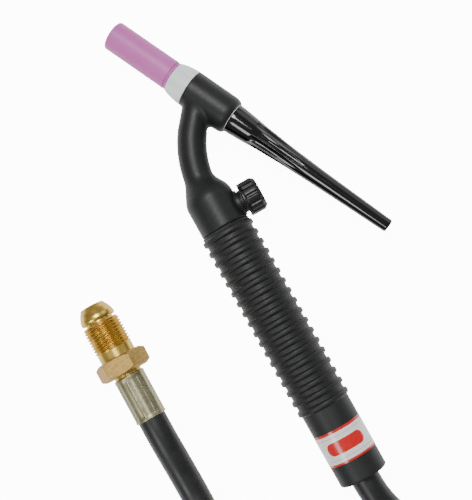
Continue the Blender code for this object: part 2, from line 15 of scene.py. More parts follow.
import bpy
import numpy as np
from mathutils import Matrix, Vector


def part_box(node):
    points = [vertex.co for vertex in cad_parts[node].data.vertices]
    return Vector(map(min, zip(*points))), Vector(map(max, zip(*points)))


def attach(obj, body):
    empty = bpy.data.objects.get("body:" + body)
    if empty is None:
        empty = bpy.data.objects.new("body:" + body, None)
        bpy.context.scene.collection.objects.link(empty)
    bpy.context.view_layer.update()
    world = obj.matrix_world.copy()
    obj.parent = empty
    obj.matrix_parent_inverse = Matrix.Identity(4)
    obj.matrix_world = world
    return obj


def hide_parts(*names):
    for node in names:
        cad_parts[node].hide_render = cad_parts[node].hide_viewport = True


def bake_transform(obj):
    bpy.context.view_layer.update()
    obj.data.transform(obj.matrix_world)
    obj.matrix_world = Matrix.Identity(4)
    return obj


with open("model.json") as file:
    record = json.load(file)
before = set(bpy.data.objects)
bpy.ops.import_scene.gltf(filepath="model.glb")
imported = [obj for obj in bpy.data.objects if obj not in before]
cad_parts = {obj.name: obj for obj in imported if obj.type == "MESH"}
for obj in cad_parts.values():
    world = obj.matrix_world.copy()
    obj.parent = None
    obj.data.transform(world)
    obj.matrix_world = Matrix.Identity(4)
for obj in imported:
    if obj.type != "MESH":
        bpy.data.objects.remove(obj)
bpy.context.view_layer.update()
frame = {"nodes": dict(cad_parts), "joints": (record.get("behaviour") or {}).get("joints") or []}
LOG = logging.getLogger("torch")
UP = np.array([0.0, 0.0, 1.0])
MM = 0.001
Relief = Callable[[np.ndarray, np.ndarray, np.ndarray], np.ndarray]
"""A function of distances along an axis, radii and angles, for the radii to use instead."""


# ---------------------------------------------------------------- materials


def linear(colour: str) -> tuple[float, ...]:
    """Turns an sRGB hex colour into linear red, green, blue and alpha.

    Args:
        colour: The colour as # and six hex digits.

    Returns:
        Four values from 0 to 1. A channel c becomes ((c + 0.055) / 1.055)^2.4, or c / 12.92 where it is dark.
    """
    channels = np.array([int(colour[start : start + 2], 16) for start in (1, 3, 5)]) / 255
    curved = ((channels + 0.055) / 1.055) ** 2.4
    return (*np.where(channels <= 0.04045, channels / 12.92, curved).tolist(), 1.0)


def add_node(tree: bpy.types.NodeTree, kind: str, inputs: dict | None = None, **settings) -> bpy.types.Node:
    """Adds a node with its settings and links.

    Args:
        tree: The node tree that takes it.
        kind: Blender's name for the kind of node.
        inputs: For each socket name or number, a value, or the output socket to link to it.
        settings: The node's own properties.

    Returns:
        The node.
    """
    node = tree.nodes.new(kind)
    for key, value in settings.items():
        setattr(node, key, value)
    for key, value in (inputs or {}).items():
        if isinstance(value, bpy.types.NodeSocket):
            tree.links.new(value, node.inputs[key])
        else:
            node.inputs[key].default_value = value
    return node


Shade = bpy.types.NodeSocket | float | tuple[float, ...]
"""A value that a node takes: another node's output, a number or a linear colour."""


def mixed(tree: bpy.types.NodeTree, share: Shade, low: Shade, high: Shade) -> bpy.types.NodeSocket:
    """The colour that lies that share of the way from low to high."""
    node = add_node(tree, "ShaderNodeMix", {0: share, 6: low, 7: high}, data_type="RGBA")
    return node.outputs[2]


def spread(tree: bpy.types.NodeTree, value: Shade, low: float, high: float, start: float = 0.0,
           end: float = 1.0) -> bpy.types.NodeSocket:
    """The value carried from the range start to end over to the range low to high, and held there."""
    settings = {"Value": value, "From Min": start, "From Max": end, "To Min": low, "To Max": high}
    return add_node(tree, "ShaderNodeMapRange", settings).outputs["Result"]


def band_scale(spacing_mm: float) -> float:
    """The wave texture's scale for bands that far apart: it has 20 radians to a unit of its own."""
    return 2 * math.pi / (20.0 * spacing_mm * MM)


class Places(Enum):
    """What a pattern is laid out on: the shared frame, or the piece's own surface map in metres."""

    FRAME = "Object"
    SURFACE = "UV"


@dataclass(frozen=True)
class Finish:
    """A surface finish: a colour with slow patches of a second one, a fine grain and a roughness that follows it.

    Sizes of patterns are in millimetres. The pattern is turned about the vertical by turn_deg, and stretch
    multiplies how often it repeats along each axis.
    """

    name: str
    colour: str
    second: str
    roughness: float
    metallic: float = 0.0
    ior: float = 1.5
    patch_mm: float = 9.0
    patch_share: float = 0.5
    grain_mm: float = 0.4
    grain_depth_mm: float = 0.02
    roughness_spread: float = 0.06
    stretch: tuple[float, float, float] = (1.0, 1.0, 1.0)
    turn_deg: float = 0.0
    places: Places = Places.FRAME
    coat: float = 0.0
    coat_roughness: float = 0.05
    sheen: float = 0.0
    subsurface: float = 0.0

    def material(self) -> bpy.types.Material:
        """Makes the finish's material, or finds it where it is already made.

        Returns:
            The material, named as the finish is.
        """
        made = bpy.data.materials.get(self.name)
        if made:
            return made
        made = bpy.data.materials.new(self.name)
        made.use_nodes = True
        tree = made.node_tree
        shader = tree.nodes["Principled BSDF"]
        shader.inputs["Metallic"].default_value = self.metallic
        if not self.metallic:
            shader.inputs["IOR"].default_value = self.ior
        shader.inputs["Coat Weight"].default_value = self.coat
        shader.inputs["Coat Roughness"].default_value = self.coat_roughness
        shader.inputs["Sheen Weight"].default_value = self.sheen
        shader.inputs["Sheen Roughness"].default_value = 0.4
        if self.subsurface:
            shader.inputs["Subsurface Weight"].default_value = self.subsurface
            shader.inputs["Subsurface Radius"].default_value = (0.8, 0.9, 1.0)
            shader.inputs["Subsurface Scale"].default_value = 2.0 * MM
        self.dress(tree, shader)
        return made

    def coordinates(self, tree: bpy.types.NodeTree) -> bpy.types.NodeSocket:
        """Finds where the pattern is looked up, turned and stretched as the finish says.

        Args:
            tree: The material's nodes.

        Returns:
            The socket with the place.
        """
        source = add_node(tree, "ShaderNodeTexCoord").outputs[self.places.value]
        turn = (0.0, 0.0, math.radians(self.turn_deg))
        turned = add_node(tree, "ShaderNodeMapping", {"Vector": source, "Rotation": turn})
        stretched = add_node(tree, "ShaderNodeMapping", {"Vector": turned.outputs[0], "Scale": self.stretch})
        return stretched.outputs[0]

    def noise(self, tree: bpy.types.NodeTree, where: bpy.types.NodeSocket, size_mm: float,
              detail: float = 3.0) -> bpy.types.NodeSocket:
        """Noise with features of about that size."""
        settings = {"Vector": where, "Scale": 1.0 / (size_mm * MM), "Detail": detail, "Roughness": 0.55}
        return add_node(tree, "ShaderNodeTexNoise", settings).outputs["Fac"]

    def dress(self, tree: bpy.types.NodeTree, shader: bpy.types.Node) -> None:
        """Links colour, roughness and bump to the shader.

        Args:
            tree: The material's nodes.
            shader: Its Principled shader.
        """
        where = self.coordinates(tree)
        patches = spread(tree, self.noise(tree, where, self.patch_mm), 0.0, self.patch_share, 0.35, 0.65)
        colour = mixed(tree, patches, linear(self.colour), linear(self.second))
        grain = self.noise(tree, where, self.grain_mm)
        self.finish_surface(tree, shader, colour, grain, grain)

    def finish_surface(self, tree: bpy.types.NodeTree, shader: bpy.types.Node, colour: bpy.types.NodeSocket,
                       height: bpy.types.NodeSocket, wear: bpy.types.NodeSocket) -> None:
        """Sets the base colour, the bump from a height and the roughness from a wear pattern.

        Args:
            tree: The material's nodes.
            shader: Its Principled shader.
            colour: The socket with the base colour.
            height: A socket from 0 to 1, for the relief of grain_depth_mm.
            wear: A socket from 0 to 1, for the spread of the roughness.
        """
        low, high = self.roughness - self.roughness_spread, self.roughness + self.roughness_spread
        tree.links.new(colour, shader.inputs["Base Color"])
        tree.links.new(spread(tree, wear, max(low, 0.02), high, 0.3, 0.7), shader.inputs["Roughness"])
        relief = {"Height": height, "Distance": self.grain_depth_mm * MM, "Strength": 1.0}
        tree.links.new(add_node(tree, "ShaderNodeBump", relief).outputs[0], shader.inputs["Normal"])


@dataclass(frozen=True)
class TurnedMetal(Finish):
    """Metal cut on a lathe: fine tool rings across its axis, and tarnish in patches.

    Rings are bands along the surface's own length, so the finish is looked up on the surface.
    """

    ring_mm: float = 2.83
    places: Places = Places.SURFACE

    def dress(self, tree: bpy.types.NodeTree, shader: bpy.types.Node) -> None:
        """Adds tool rings to the grain.

        Args:
            tree: The material's nodes.
            shader: Its Principled shader.
        """
        where = self.coordinates(tree)
        slow = self.noise(tree, where, self.patch_mm, 5.0)
        patches = spread(tree, slow, 0.0, self.patch_share, 0.4, 0.62)
        colour = mixed(tree, patches, linear(self.colour), linear(self.second))
        bands = {"Vector": where, "Scale": band_scale(self.ring_mm), "Distortion": 1.5, "Detail": 2.0}
        rings = add_node(tree, "ShaderNodeTexWave", bands, bands_direction="Y").outputs["Fac"]
        grain = self.noise(tree, where, self.grain_mm)
        blend = add_node(tree, "ShaderNodeMath", {0: rings, 1: grain}, operation="MULTIPLY").outputs[0]
        self.finish_surface(tree, shader, colour, blend, slow)


@dataclass(frozen=True)
class WoundRubber(Finish):
    """Rubber cured under a wound cloth tape: a faint band at each lap of the tape, and a slight dust."""

    lap_mm: float = 6.91
    places: Places = Places.SURFACE

    def dress(self, tree: bpy.types.NodeTree, shader: bpy.types.Node) -> None:
        """Adds the tape's laps to the grain.

        Args:
            tree: The material's nodes.
            shader: Its Principled shader.
        """
        where = self.coordinates(tree)
        dust = self.noise(tree, where, self.patch_mm, 4.0)
        patches = spread(tree, dust, 0.0, self.patch_share, 0.4, 0.7)
        colour = mixed(tree, patches, linear(self.colour), linear(self.second))
        bands = {"Vector": where, "Scale": band_scale(self.lap_mm), "Distortion": 0.6}
        laps = add_node(tree, "ShaderNodeTexWave", bands, bands_direction="Y").outputs["Fac"]
        grain = self.noise(tree, where, self.grain_mm)
        height = add_node(tree, "ShaderNodeMath", {0: laps, 1: grain}, operation="ADD").outputs[0]
        self.finish_surface(tree, shader, colour, height, dust)


@dataclass(frozen=True)
class PrintedFilm(Finish):
    """A printed vinyl band: white, a red line along each edge, hairlines, and a plain red lozenge twice round.

    On the surface map u runs round the band and v along the handle, both in metres, v from 0 at the band's rear.
    """

    places: Places = Places.SURFACE
    width_mm: float = 18.6
    around_mm: float = 89.0
    edge_mm: float = 1.3
    hairline_at_mm: float = 6.1
    hairline_half_mm: float = 0.11
    lozenge_half_mm: float = 8.2
    lozenge_radius_mm: float = 3.6
    ink: str = "#d3100f"
    hairline: str = "#8d9092"

    def dress(self, tree: bpy.types.NodeTree, shader: bpy.types.Node) -> None:
        """Paints the print from the surface map with plain arithmetic.

        Args:
            tree: The material's nodes.
            shader: Its Principled shader.
        """

        def sum_of(first: Shade, second: Shade, operation: str) -> bpy.types.NodeSocket:
            """One step of arithmetic on sockets or numbers."""
            return add_node(tree, "ShaderNodeMath", {0: first, 1: second}, operation=operation).outputs[0]

        where = self.coordinates(tree)
        parts = add_node(tree, "ShaderNodeSeparateXYZ", {0: where}).outputs
        middle = self.width_mm / 2 * MM
        across = sum_of(sum_of(parts[1], middle, "SUBTRACT"), 0.0, "ABSOLUTE")
        edges = sum_of(across, middle - self.edge_mm * MM, "GREATER_THAN")
        line = sum_of(sum_of(across, self.hairline_at_mm * MM, "SUBTRACT"), 0.0, "ABSOLUTE")
        lines = sum_of(line, self.hairline_half_mm * MM, "LESS_THAN")
        half_turn = self.around_mm / 2 * MM
        place = sum_of(parts[0], half_turn, "MODULO")
        along = sum_of(sum_of(place, half_turn / 2, "SUBTRACT"), 0.0, "ABSOLUTE")
        long_end = sum_of(sum_of(along, self.lozenge_half_mm * MM, "SUBTRACT"), 0.0, "MAXIMUM")
        reach = sum_of(sum_of(long_end, 2.0, "POWER"), sum_of(across, 2.0, "POWER"), "ADD")
        lozenge = sum_of(reach, (self.lozenge_radius_mm * MM) ** 2, "LESS_THAN")
        red = sum_of(edges, lozenge, "MAXIMUM")
        grey = mixed(tree, lines, linear(self.colour), linear(self.hairline))
        scuffs = self.noise(tree, where, self.patch_mm, 4.0)
        aged = mixed(tree, spread(tree, scuffs, 0.0, self.patch_share, 0.45, 0.7), grey, linear(self.second))
        self.finish_surface(tree, shader, mixed(tree, red, aged, linear(self.ink)), red, scuffs)


@dataclass(frozen=True)
class Webbing(Finish):
    """Woven nylon tape: over-and-under threads both ways, from two crossed waves on the surface map.

    The weave is drawn several times coarser than the real 0.8 mm, which is too fine to show.
    """

    thread_mm: float = 5.03
    places: Places = Places.SURFACE

    def dress(self, tree: bpy.types.NodeTree, shader: bpy.types.Node) -> None:
        """Crosses two bands of threads for colour and relief.

        Args:
            tree: The material's nodes.
            shader: Its Principled shader.
        """
        where = self.coordinates(tree)
        bands = {"Vector": where, "Scale": band_scale(self.thread_mm)}
        warp = add_node(tree, "ShaderNodeTexWave", bands, bands_direction="X").outputs["Fac"]
        weft = add_node(tree, "ShaderNodeTexWave", bands, bands_direction="Y").outputs["Fac"]
        woven = add_node(tree, "ShaderNodeMath", {0: warp, 1: weft}, operation="MULTIPLY").outputs[0]
        colour = mixed(tree, woven, linear(self.colour), linear(self.second))
        self.finish_surface(tree, shader, colour, woven, woven)


# How far the head's axis is turned from the handle's, for grain that runs along the head.
HEAD_TURN_DEG = -25.4

# Pink fired alumina, slip cast and tumbled: a satin pastel body with fine specks.
ALUMINA = Finish(
    "pink_alumina_fired", "#c460ad", "#cb6db6", 0.46, ior=1.5, patch_mm=14.0, grain_mm=0.35,
    grain_depth_mm=0.012, roughness_spread=0.05,
)
# White moulded fluoropolymer: waxy, and light goes a little way in.
PTFE = Finish(
    "white_ptfe_moulded", "#f1f5f4", "#d6e0df", 0.36, ior=1.35, patch_mm=5.0, grain_mm=0.5,
    grain_depth_mm=0.012, stretch=(1.0, 0.35, 1.0), turn_deg=HEAD_TURN_DEG, subsurface=0.35,
)
# Black silicone rubber moulded over the brass: nearly matte, with a soft grey sheen.
MOULDED_RUBBER = Finish(
    "black_silicone_moulded", "#131414", "#1a1c1c", 0.46, ior=1.42, patch_mm=11.0, grain_mm=0.45,
    grain_depth_mm=0.02, roughness_spread=0.07, sheen=0.05,
)
# Softer black rubber of the handle: a little greyer and duller.
HANDLE_RUBBER = Finish(
    "black_rubber_ribbed", "#141515", "#1d1f1f", 0.50, ior=1.45, patch_mm=8.0, grain_mm=0.35,
    grain_depth_mm=0.025, roughness_spread=0.08, sheen=0.08,
)
# Extruded synthetic rubber hose cured under tape: dark grey with a broad soft highlight.
HOSE_RUBBER = WoundRubber(
    "black_hose_taped", "#141515", "#1b1d1e", 0.42, patch_mm=12.0, grain_mm=0.6,
    grain_depth_mm=0.015, roughness_spread=0.07, sheen=0.04,
)
# Compression moulded phenolic: near black and mirror smooth.
PHENOLIC = Finish(
    "black_phenolic_polished", "#050505", "#070707", 0.11, ior=1.55, patch_mm=20.0, grain_mm=4.0,
    grain_depth_mm=0.0015, roughness_spread=0.02,
)
# Injection moulded nylon knob: dark and semi matte, with small patches of a slightly lighter tone.
KNOB_NYLON = Finish(
    "black_nylon_moulded", "#0a0b0c", "#111213", 0.38, ior=1.5, patch_mm=4.0, grain_mm=0.5,
    grain_depth_mm=0.012, roughness_spread=0.08,
)
# Machined free-cutting brass: warm and bright, with light tarnish. Its tool rings are drawn ten times coarser than
# the real feed marks, so that they show.
BRASS = TurnedMetal(
    "brass_machined", "#dab85c", "#b69146", 0.31, metallic=1.0, patch_mm=6.0, patch_share=0.7,
    grain_mm=0.7, grain_depth_mm=0.0015, roughness_spread=0.06,
)
# Forged and brushed brass flats of the hexagon: paler, duller and more beige.
BRASS_FLATS = Finish(
    "brass_brushed", "#bd9c5a", "#a08046", 0.47, metallic=1.0, patch_mm=2.2, patch_share=0.8,
    grain_mm=0.5, grain_depth_mm=0.012, roughness_spread=0.08, stretch=(1.0, 2.2, 1.0),
)
# Yellow zinc plated steel sleeve, pressed by crimping jaws.
PLATED_STEEL = Finish(
    "steel_zinc_plated", "#a8a487", "#8c8667", 0.38, metallic=1.0, patch_mm=2.6, patch_share=0.8,
    grain_mm=0.5, grain_depth_mm=0.004, roughness_spread=0.1, stretch=(1.0, 0.25, 1.0),
)
# Drawn copper with light oxide: salmon brown, with duller patches.
COPPER = Finish(
    "copper_drawn", "#b9704c", "#8e5238", 0.32, metallic=1.0, patch_mm=3.0, patch_share=0.7,
    grain_mm=0.4, grain_depth_mm=0.006,
)
# Centreless ground tungsten rod: grey and satin.
TUNGSTEN = Finish(
    "tungsten_ground", "#8c8b89", "#777573", 0.34, metallic=1.0, patch_mm=2.0, grain_mm=0.2,
    grain_depth_mm=0.004,
)
# Moulded nitrile seal rings: black and satin.
SEAL_RUBBER = Finish("black_nitrile_seal", "#101010", "#171717", 0.45, patch_mm=3.0, grain_mm=0.3)
# Printed vinyl with a clear coat: white and slightly glossy, with light scuffs.
LABEL_FILM = PrintedFilm(
    "vinyl_printed", "#f0f0ee", "#dcdcd8", 0.28, patch_mm=2.4, patch_share=0.5, grain_depth_mm=0.01,
    coat=0.4, coat_roughness=0.12,
)
# Woven nylon strap: black, matte, with a soft sheen on its ribs.
STRAP_NYLON = Webbing(
    "nylon_webbing_woven", "#0d0d0e", "#232425", 0.7, grain_depth_mm=0.25, roughness_spread=0.05, sheen=0.2,
)


# ---------------------------------------------------------------- surfaces


@dataclass(frozen=True)
class Axis:
    """A straight line that pieces are turned round: a point on it and its heading."""

    origin: np.ndarray
    along: np.ndarray

    @property
    def side(self) -> np.ndarray:
        """The level direction across the axis."""
        return np.cross(self.along, UP) / np.linalg.norm(np.cross(self.along, UP))

    @property
    def up(self) -> np.ndarray:
        """The direction across the axis that points up."""
        return np.cross(self.side, self.along)

    def place(self, along: np.ndarray, radius: np.ndarray, angle: np.ndarray) -> np.ndarray:
        """Points at those distances along and from the axis, at those angles from its level side.

        Args:
            along: Distances along the axis.
            radius: Distances from it.
            angle: Angles round it, in radians.

        Returns:
            The points, with a last axis of three.
        """
        along, radius, angle = np.broadcast_arrays(along, radius, angle)
        out = radius[..., None] * (np.cos(angle)[..., None] * self.side + np.sin(angle)[..., None] * self.up)
        return self.origin + along[..., None] * self.along + out


def joint_axis(name: str) -> Axis:
    """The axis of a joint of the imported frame."""
    joint = next(found for found in frame["joints"] if found["name"] == name)
    return Axis(np.array(joint["pos_m"], float), np.array(joint["axis"], float))


def ring_angles(count: int) -> np.ndarray:
    """Angles evenly round a circle, the last short of the first."""
    return 2 * math.pi * np.arange(count) / count


def rounded(outline: list[tuple[float, float, float]], steps: int = 4, closed: bool = False) -> np.ndarray:
    """An outline whose corners are circular arcs.

    Each corner B between A and C becomes the arc tangent to both sides, as the rational quadratic curve through
    B with weight sin(half the corner's angle). A point just before and after it keeps the sides' shading flat.

    Args:
        outline: Corners as (along, radius, corner radius). 0 leaves a corner sharp.
        steps: Points on each arc, less one.
        closed: Whether the last corner joins the first.

    Returns:
        The points as rows of (along, radius).
    """
    corners = np.array([corner[:2] for corner in outline])
    made: list[np.ndarray] = []
    share = np.linspace(0, 1, steps + 1)[:, None]
    for place, (_, _, radius) in enumerate(outline):
        here = corners[place]
        at_end = not closed and place in (0, len(outline) - 1)
        if at_end or radius == 0:
            made.append(here[None])
            continue
        back, ahead = corners[place - 1] - here, corners[(place + 1) % len(outline)] - here
        back_length, ahead_length = np.linalg.norm(back), np.linalg.norm(ahead)
        back, ahead = back / back_length, ahead / ahead_length
        half = math.acos(np.clip(back @ ahead, -1, 1)) / 2
        cut = min(radius / math.tan(half), 0.46 * back_length, 0.46 * ahead_length)
        weight = math.sin(half)
        first, last = here + back * cut, here + ahead * cut
        middle = 2 * share * (1 - share) * weight
        arc = (1 - share) ** 2 * first + middle * here + share**2 * last
        arc /= (1 - share) ** 2 + middle + share**2
        hold = 0.12 * cut
        made += [(first + back * hold)[None], arc, (last + ahead * hold)[None]]
    return np.concatenate(made)


def skin(name: str, points: np.ndarray, finish: Finish, endless: bool = False) -> bpy.types.Object:
    """A closed surface through a grid of points.

    Each row of points is a ring. Neighbouring rings are joined by four-sided faces. With endless the last ring
    joins the first, as in a tube bent into a ring, and otherwise each end is closed by a fan to its middle. The
    surface map has the distance round the mean ring as u and the mean distance between rings as v, in metres.

    Args:
        name: The piece's name.
        points: An array of (rings, points in a ring, 3).
        finish: What the piece is dressed in.
        endless: Whether the rings close on themselves.

    Returns:
        The object, at the origin, with its faces pointing out.
    """
    rings, count = points.shape[:2]
    row = np.arange(rings if endless else rings - 1)[:, None]
    column = np.arange(count)[None, :]
    after_row, after_column = (row + 1) % rings, (column + 1) % count
    quads = np.stack(
        [
            row * count + column,
            row * count + after_column,
            after_row * count + after_column,
            after_row * count + column,
        ],
        axis=-1,
    ).reshape(-1, 4)
    vertices = points.reshape(-1, 3)
    fans = np.zeros((0, 3), int)
    if not endless:
        centres = np.array([points[0].mean(axis=0), points[-1].mean(axis=0)])
        vertices = np.vstack([vertices, centres])
        top, here, there = rings * count, np.arange(count), (np.arange(count) + 1) % count
        first = np.stack([np.full(count, top), there, here], axis=1)
        final = (rings - 1) * count
        last = np.stack([np.full(count, top + 1), final + here, final + there], axis=1)
        fans = np.vstack([first, last])

    around = np.linalg.norm(np.roll(points, -1, axis=1) - points, axis=2).sum(axis=1).mean()
    gaps = np.linalg.norm(np.roll(points, -1, axis=0) - points, axis=2).mean(axis=1)
    rise = np.concatenate([[0.0], np.cumsum(gaps)])
    u = around * np.stack([column, column + 1, column + 1, column], axis=-1) / count
    u = np.broadcast_to(u, (len(row), count, 4))
    v = np.stack([rise[row], rise[row], rise[row + 1], rise[row + 1]], axis=-1)
    v = np.broadcast_to(v, (len(row), count, 4))
    fan_map = vertices[fans.ravel()][:, :2] if len(fans) else np.zeros((0, 2))
    surface_map = np.vstack([np.stack([u, v], axis=-1).reshape(-1, 2), fan_map])

    corner = vertices[quads]
    volume = np.einsum("ij,ij->i", corner[:, 0], np.cross(corner[:, 1], corner[:, 2])).sum()
    volume += np.einsum("ij,ij->i", corner[:, 0], np.cross(corner[:, 2], corner[:, 3])).sum()
    if len(fans):
        tip = vertices[fans]
        volume += np.einsum("ij,ij->i", tip[:, 0], np.cross(tip[:, 1], tip[:, 2])).sum()
    if volume < 0:
        flip = np.arange(len(surface_map))
        flip[: quads.size] = flip[: quads.size].reshape(-1, 4)[:, ::-1].ravel()
        flip[quads.size :] = flip[quads.size :].reshape(-1, 3)[:, ::-1].ravel()
        surface_map = surface_map[flip]
        quads, fans = quads[:, ::-1], fans[:, ::-1]

    mesh = bpy.data.meshes.new(name)
    mesh.vertices.add(len(vertices))
    mesh.vertices.foreach_set("co", vertices.astype(np.float32).ravel())
    corners = np.concatenate([quads.ravel(), fans.ravel()])
    mesh.loops.add(len(corners))
    mesh.loops.foreach_set("vertex_index", corners.astype(np.int32))
    sizes = np.concatenate([np.full(len(quads), 4), np.full(len(fans), 3)])
    mesh.polygons.add(len(sizes))
    starts = np.concatenate([[0], np.cumsum(sizes)[:-1]])
    mesh.polygons.foreach_set("loop_start", starts.astype(np.int32))
    mesh.uv_layers.new(name="Surface").data.foreach_set("uv", surface_map.astype(np.float32).ravel())
    mesh.update(calc_edges=True)
    mesh.validate()
    mesh.shade_smooth()
    mesh.materials.append(finish.material())
    piece = bpy.data.objects.new(name, mesh)
    bpy.context.scene.collection.objects.link(piece)
    return piece


def turned(name: str, axis: Axis, outline: np.ndarray, finish: Finish, count: int = 96, closed: bool = False,
           relief: Relief | None = None) -> bpy.types.Object:
    """A piece turned round an axis: each outline point becomes a circle, whose radius a relief may change.

    Args:
        name: The piece's name.
        axis: What it is turned round.
        outline: Rows of (along, radius).
        finish: What it is dressed in.
        count: Points round a circle.
        closed: Whether the outline is a closed loop, as of a ring.
        relief: What changes the radii, if anything does.

    Returns:
        The piece.
    """
    along, radius = outline[:, :1], outline[:, 1:]
    angle = ring_angles(count)[None, :]
    if relief:
        radius = relief(along, radius, angle)
    return skin(name, axis.place(along, radius, angle), finish, endless=closed)


def sharpen(piece: bpy.types.Object, degrees: float, width: float = 0.0) -> None:
    """Marks edges that turn by more than an angle as sharp and, with a width, bevels them.

    Args:
        piece: The piece.
        degrees: The angle.
        width: The bevel's width.
    """
    piece.data.set_sharp_from_angle(angle=math.radians(degrees))
    if width:
        bevel = piece.modifiers.new("edge_break", "BEVEL")
        bevel.width = width
        bevel.segments = 3
        bevel.limit_method = "ANGLE"
        bevel.angle_limit = math.radians(degrees)


def place_piece(piece: bpy.types.Object, slot: str, body: str, *nodes: str) -> bpy.types.Object:
    """Rides a finished piece on a body, hides the CAD nodes that it stands for and logs what it stands for.

    Args:
        piece: The piece.
        slot: The name of its material slot. Not used.
        body: The body that it moves with.
        nodes: The CAD nodes that it stands for.

    Returns:
        The piece.
    """
    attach(piece, body)
    if nodes:
        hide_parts(*nodes)
    LOG.info("%s rides on %s and stands for %s", piece.name, body, ", ".join(nodes) or "no node")
    return piece


def smoothstep(value: np.ndarray) -> np.ndarray:
    """The curve 3t^2 - 2t^3 of a value held between 0 and 1."""
    held = np.clip(value, 0, 1)
    return held * held * (3 - 2 * held)


def soft_minimum(first: np.ndarray, second: np.ndarray, blend: float) -> np.ndarray:
    """The lower of two, with the crossing rounded over about that distance: -b ln(exp(-x/b) + exp(-y/b))."""
    return -blend * np.logaddexp(-first / blend, -second / blend)


def smooth_through(points: list[tuple[float, ...]], spacing: float) -> np.ndarray:
    """Points about that far apart on the Catmull-Rom curve through the given ones.

    Between knots b and c, with a before and d after, the curve is half of
    2b + (c - a)t + (2a - 5b + 4c - d)t^2 + (3b - 3c + d - a)t^3.

    Args:
        points: The knots.
        spacing: How far apart the points are.

    Returns:
        The points, one to a row.
    """
    knots = np.array(points, float)
    padded = np.vstack([2 * knots[0] - knots[1], knots, 2 * knots[-1] - knots[-2]])
    found = [knots[:1]]
    for a, b, c, d in zip(padded, padded[1:], padded[2:], padded[3:]):
        steps = max(1, round(float(np.linalg.norm(c - b)) / spacing))
        t = (np.arange(1, steps + 1) / steps)[:, None]
        cubic = (3 * (b - c) + d - a) * t**3
        found.append((2 * b + (c - a) * t + (2 * a - 5 * b + 4 * c - d) * t**2 + cubic) / 2)
    return np.concatenate(found)


def tube_rings(path: np.ndarray, radius: float, count: int) -> np.ndarray:
    """Rings across a path: each is a circle in the plane of the level and the rising direction across the path.

    Args:
        path: Points, none of them straight above the one before.
        radius: The circles' radius.
        count: Points in a ring.

    Returns:
        An array of (points of the path, count, 3).
    """
    heading = np.gradient(path, axis=0)
    heading /= np.linalg.norm(heading, axis=1, keepdims=True)
    level = np.cross(heading, UP)
    level /= np.linalg.norm(level, axis=1, keepdims=True)
    rising = np.cross(level, heading)
    angle = ring_angles(count)[None, :, None]
    across = np.cos(angle) * level[:, None] + np.sin(angle) * rising[:, None]
    return path[:, None] + radius * across


def saddle_fillet(branch: Axis, radius: float, main: Axis, main_radius: float, fillet: float,
                  room: Callable[[np.ndarray], np.ndarray] | None = None, count: int = 96,
                  steps: int = 10) -> np.ndarray:
    """Rings that carry a round branch into a round main body with a fillet.

    Along each line of the branch, t is where q0 + t q1, its part across the main axis, has the main radius: the
    nearer root of a quadratic. The fillet is the quadratic Bezier curve from a point of the branch that far
    before it, by the crossing, to a point that far along the main body's surface.

    Args:
        branch: The branch's axis, heading into the main body.
        radius: Its radius.
        main: The main body's axis, which the branch's axis meets.
        main_radius: Its radius.
        fillet: The reach of the fillet.
        room: A function of the crossing's distance along the main axis, for the fillet's longest reach there.
        count: Points in a ring.
        steps: Rings in the fillet, less one.

    Returns:
        An array of (rings, count, 3), from the branch to the main body.
    """
    angle = ring_angles(count)[:, None]
    out = np.cos(angle) * branch.side + np.sin(angle) * branch.up
    start = branch.origin + radius * out - main.origin
    q0 = start - (start @ main.along)[:, None] * main.along
    q1 = branch.along - (branch.along @ main.along) * main.along
    a, b = q1 @ q1, q0 @ q1
    c = (q0 * q0).sum(axis=1) - main_radius**2
    t = (-b - np.sqrt(b * b - a * c)) / a
    crossing = start + t[:, None] * branch.along
    along = crossing @ main.along
    reach = fillet if room is None else np.minimum(fillet, room(along))
    reach = np.broadcast_to(reach, t.shape)[:, None]
    normal = (crossing - along[:, None] * main.along) / main_radius
    tangent = out - (out * normal).sum(axis=1)[:, None] * normal
    tangent /= np.linalg.norm(tangent, axis=1, keepdims=True)
    landing = crossing + reach * tangent
    level = (landing @ main.along)[:, None] * main.along
    away = landing - level
    landing = level + away / np.linalg.norm(away, axis=1, keepdims=True) * (main_radius - 0.03 * MM)
    before = crossing - reach * branch.along
    share = np.linspace(0, 1, steps + 1)[:, None, None]
    curve = (1 - share) ** 2 * before + 2 * share * (1 - share) * crossing + share**2 * landing
    return curve + main.origin


# ---------------------------------------------------------------- the torch's layout


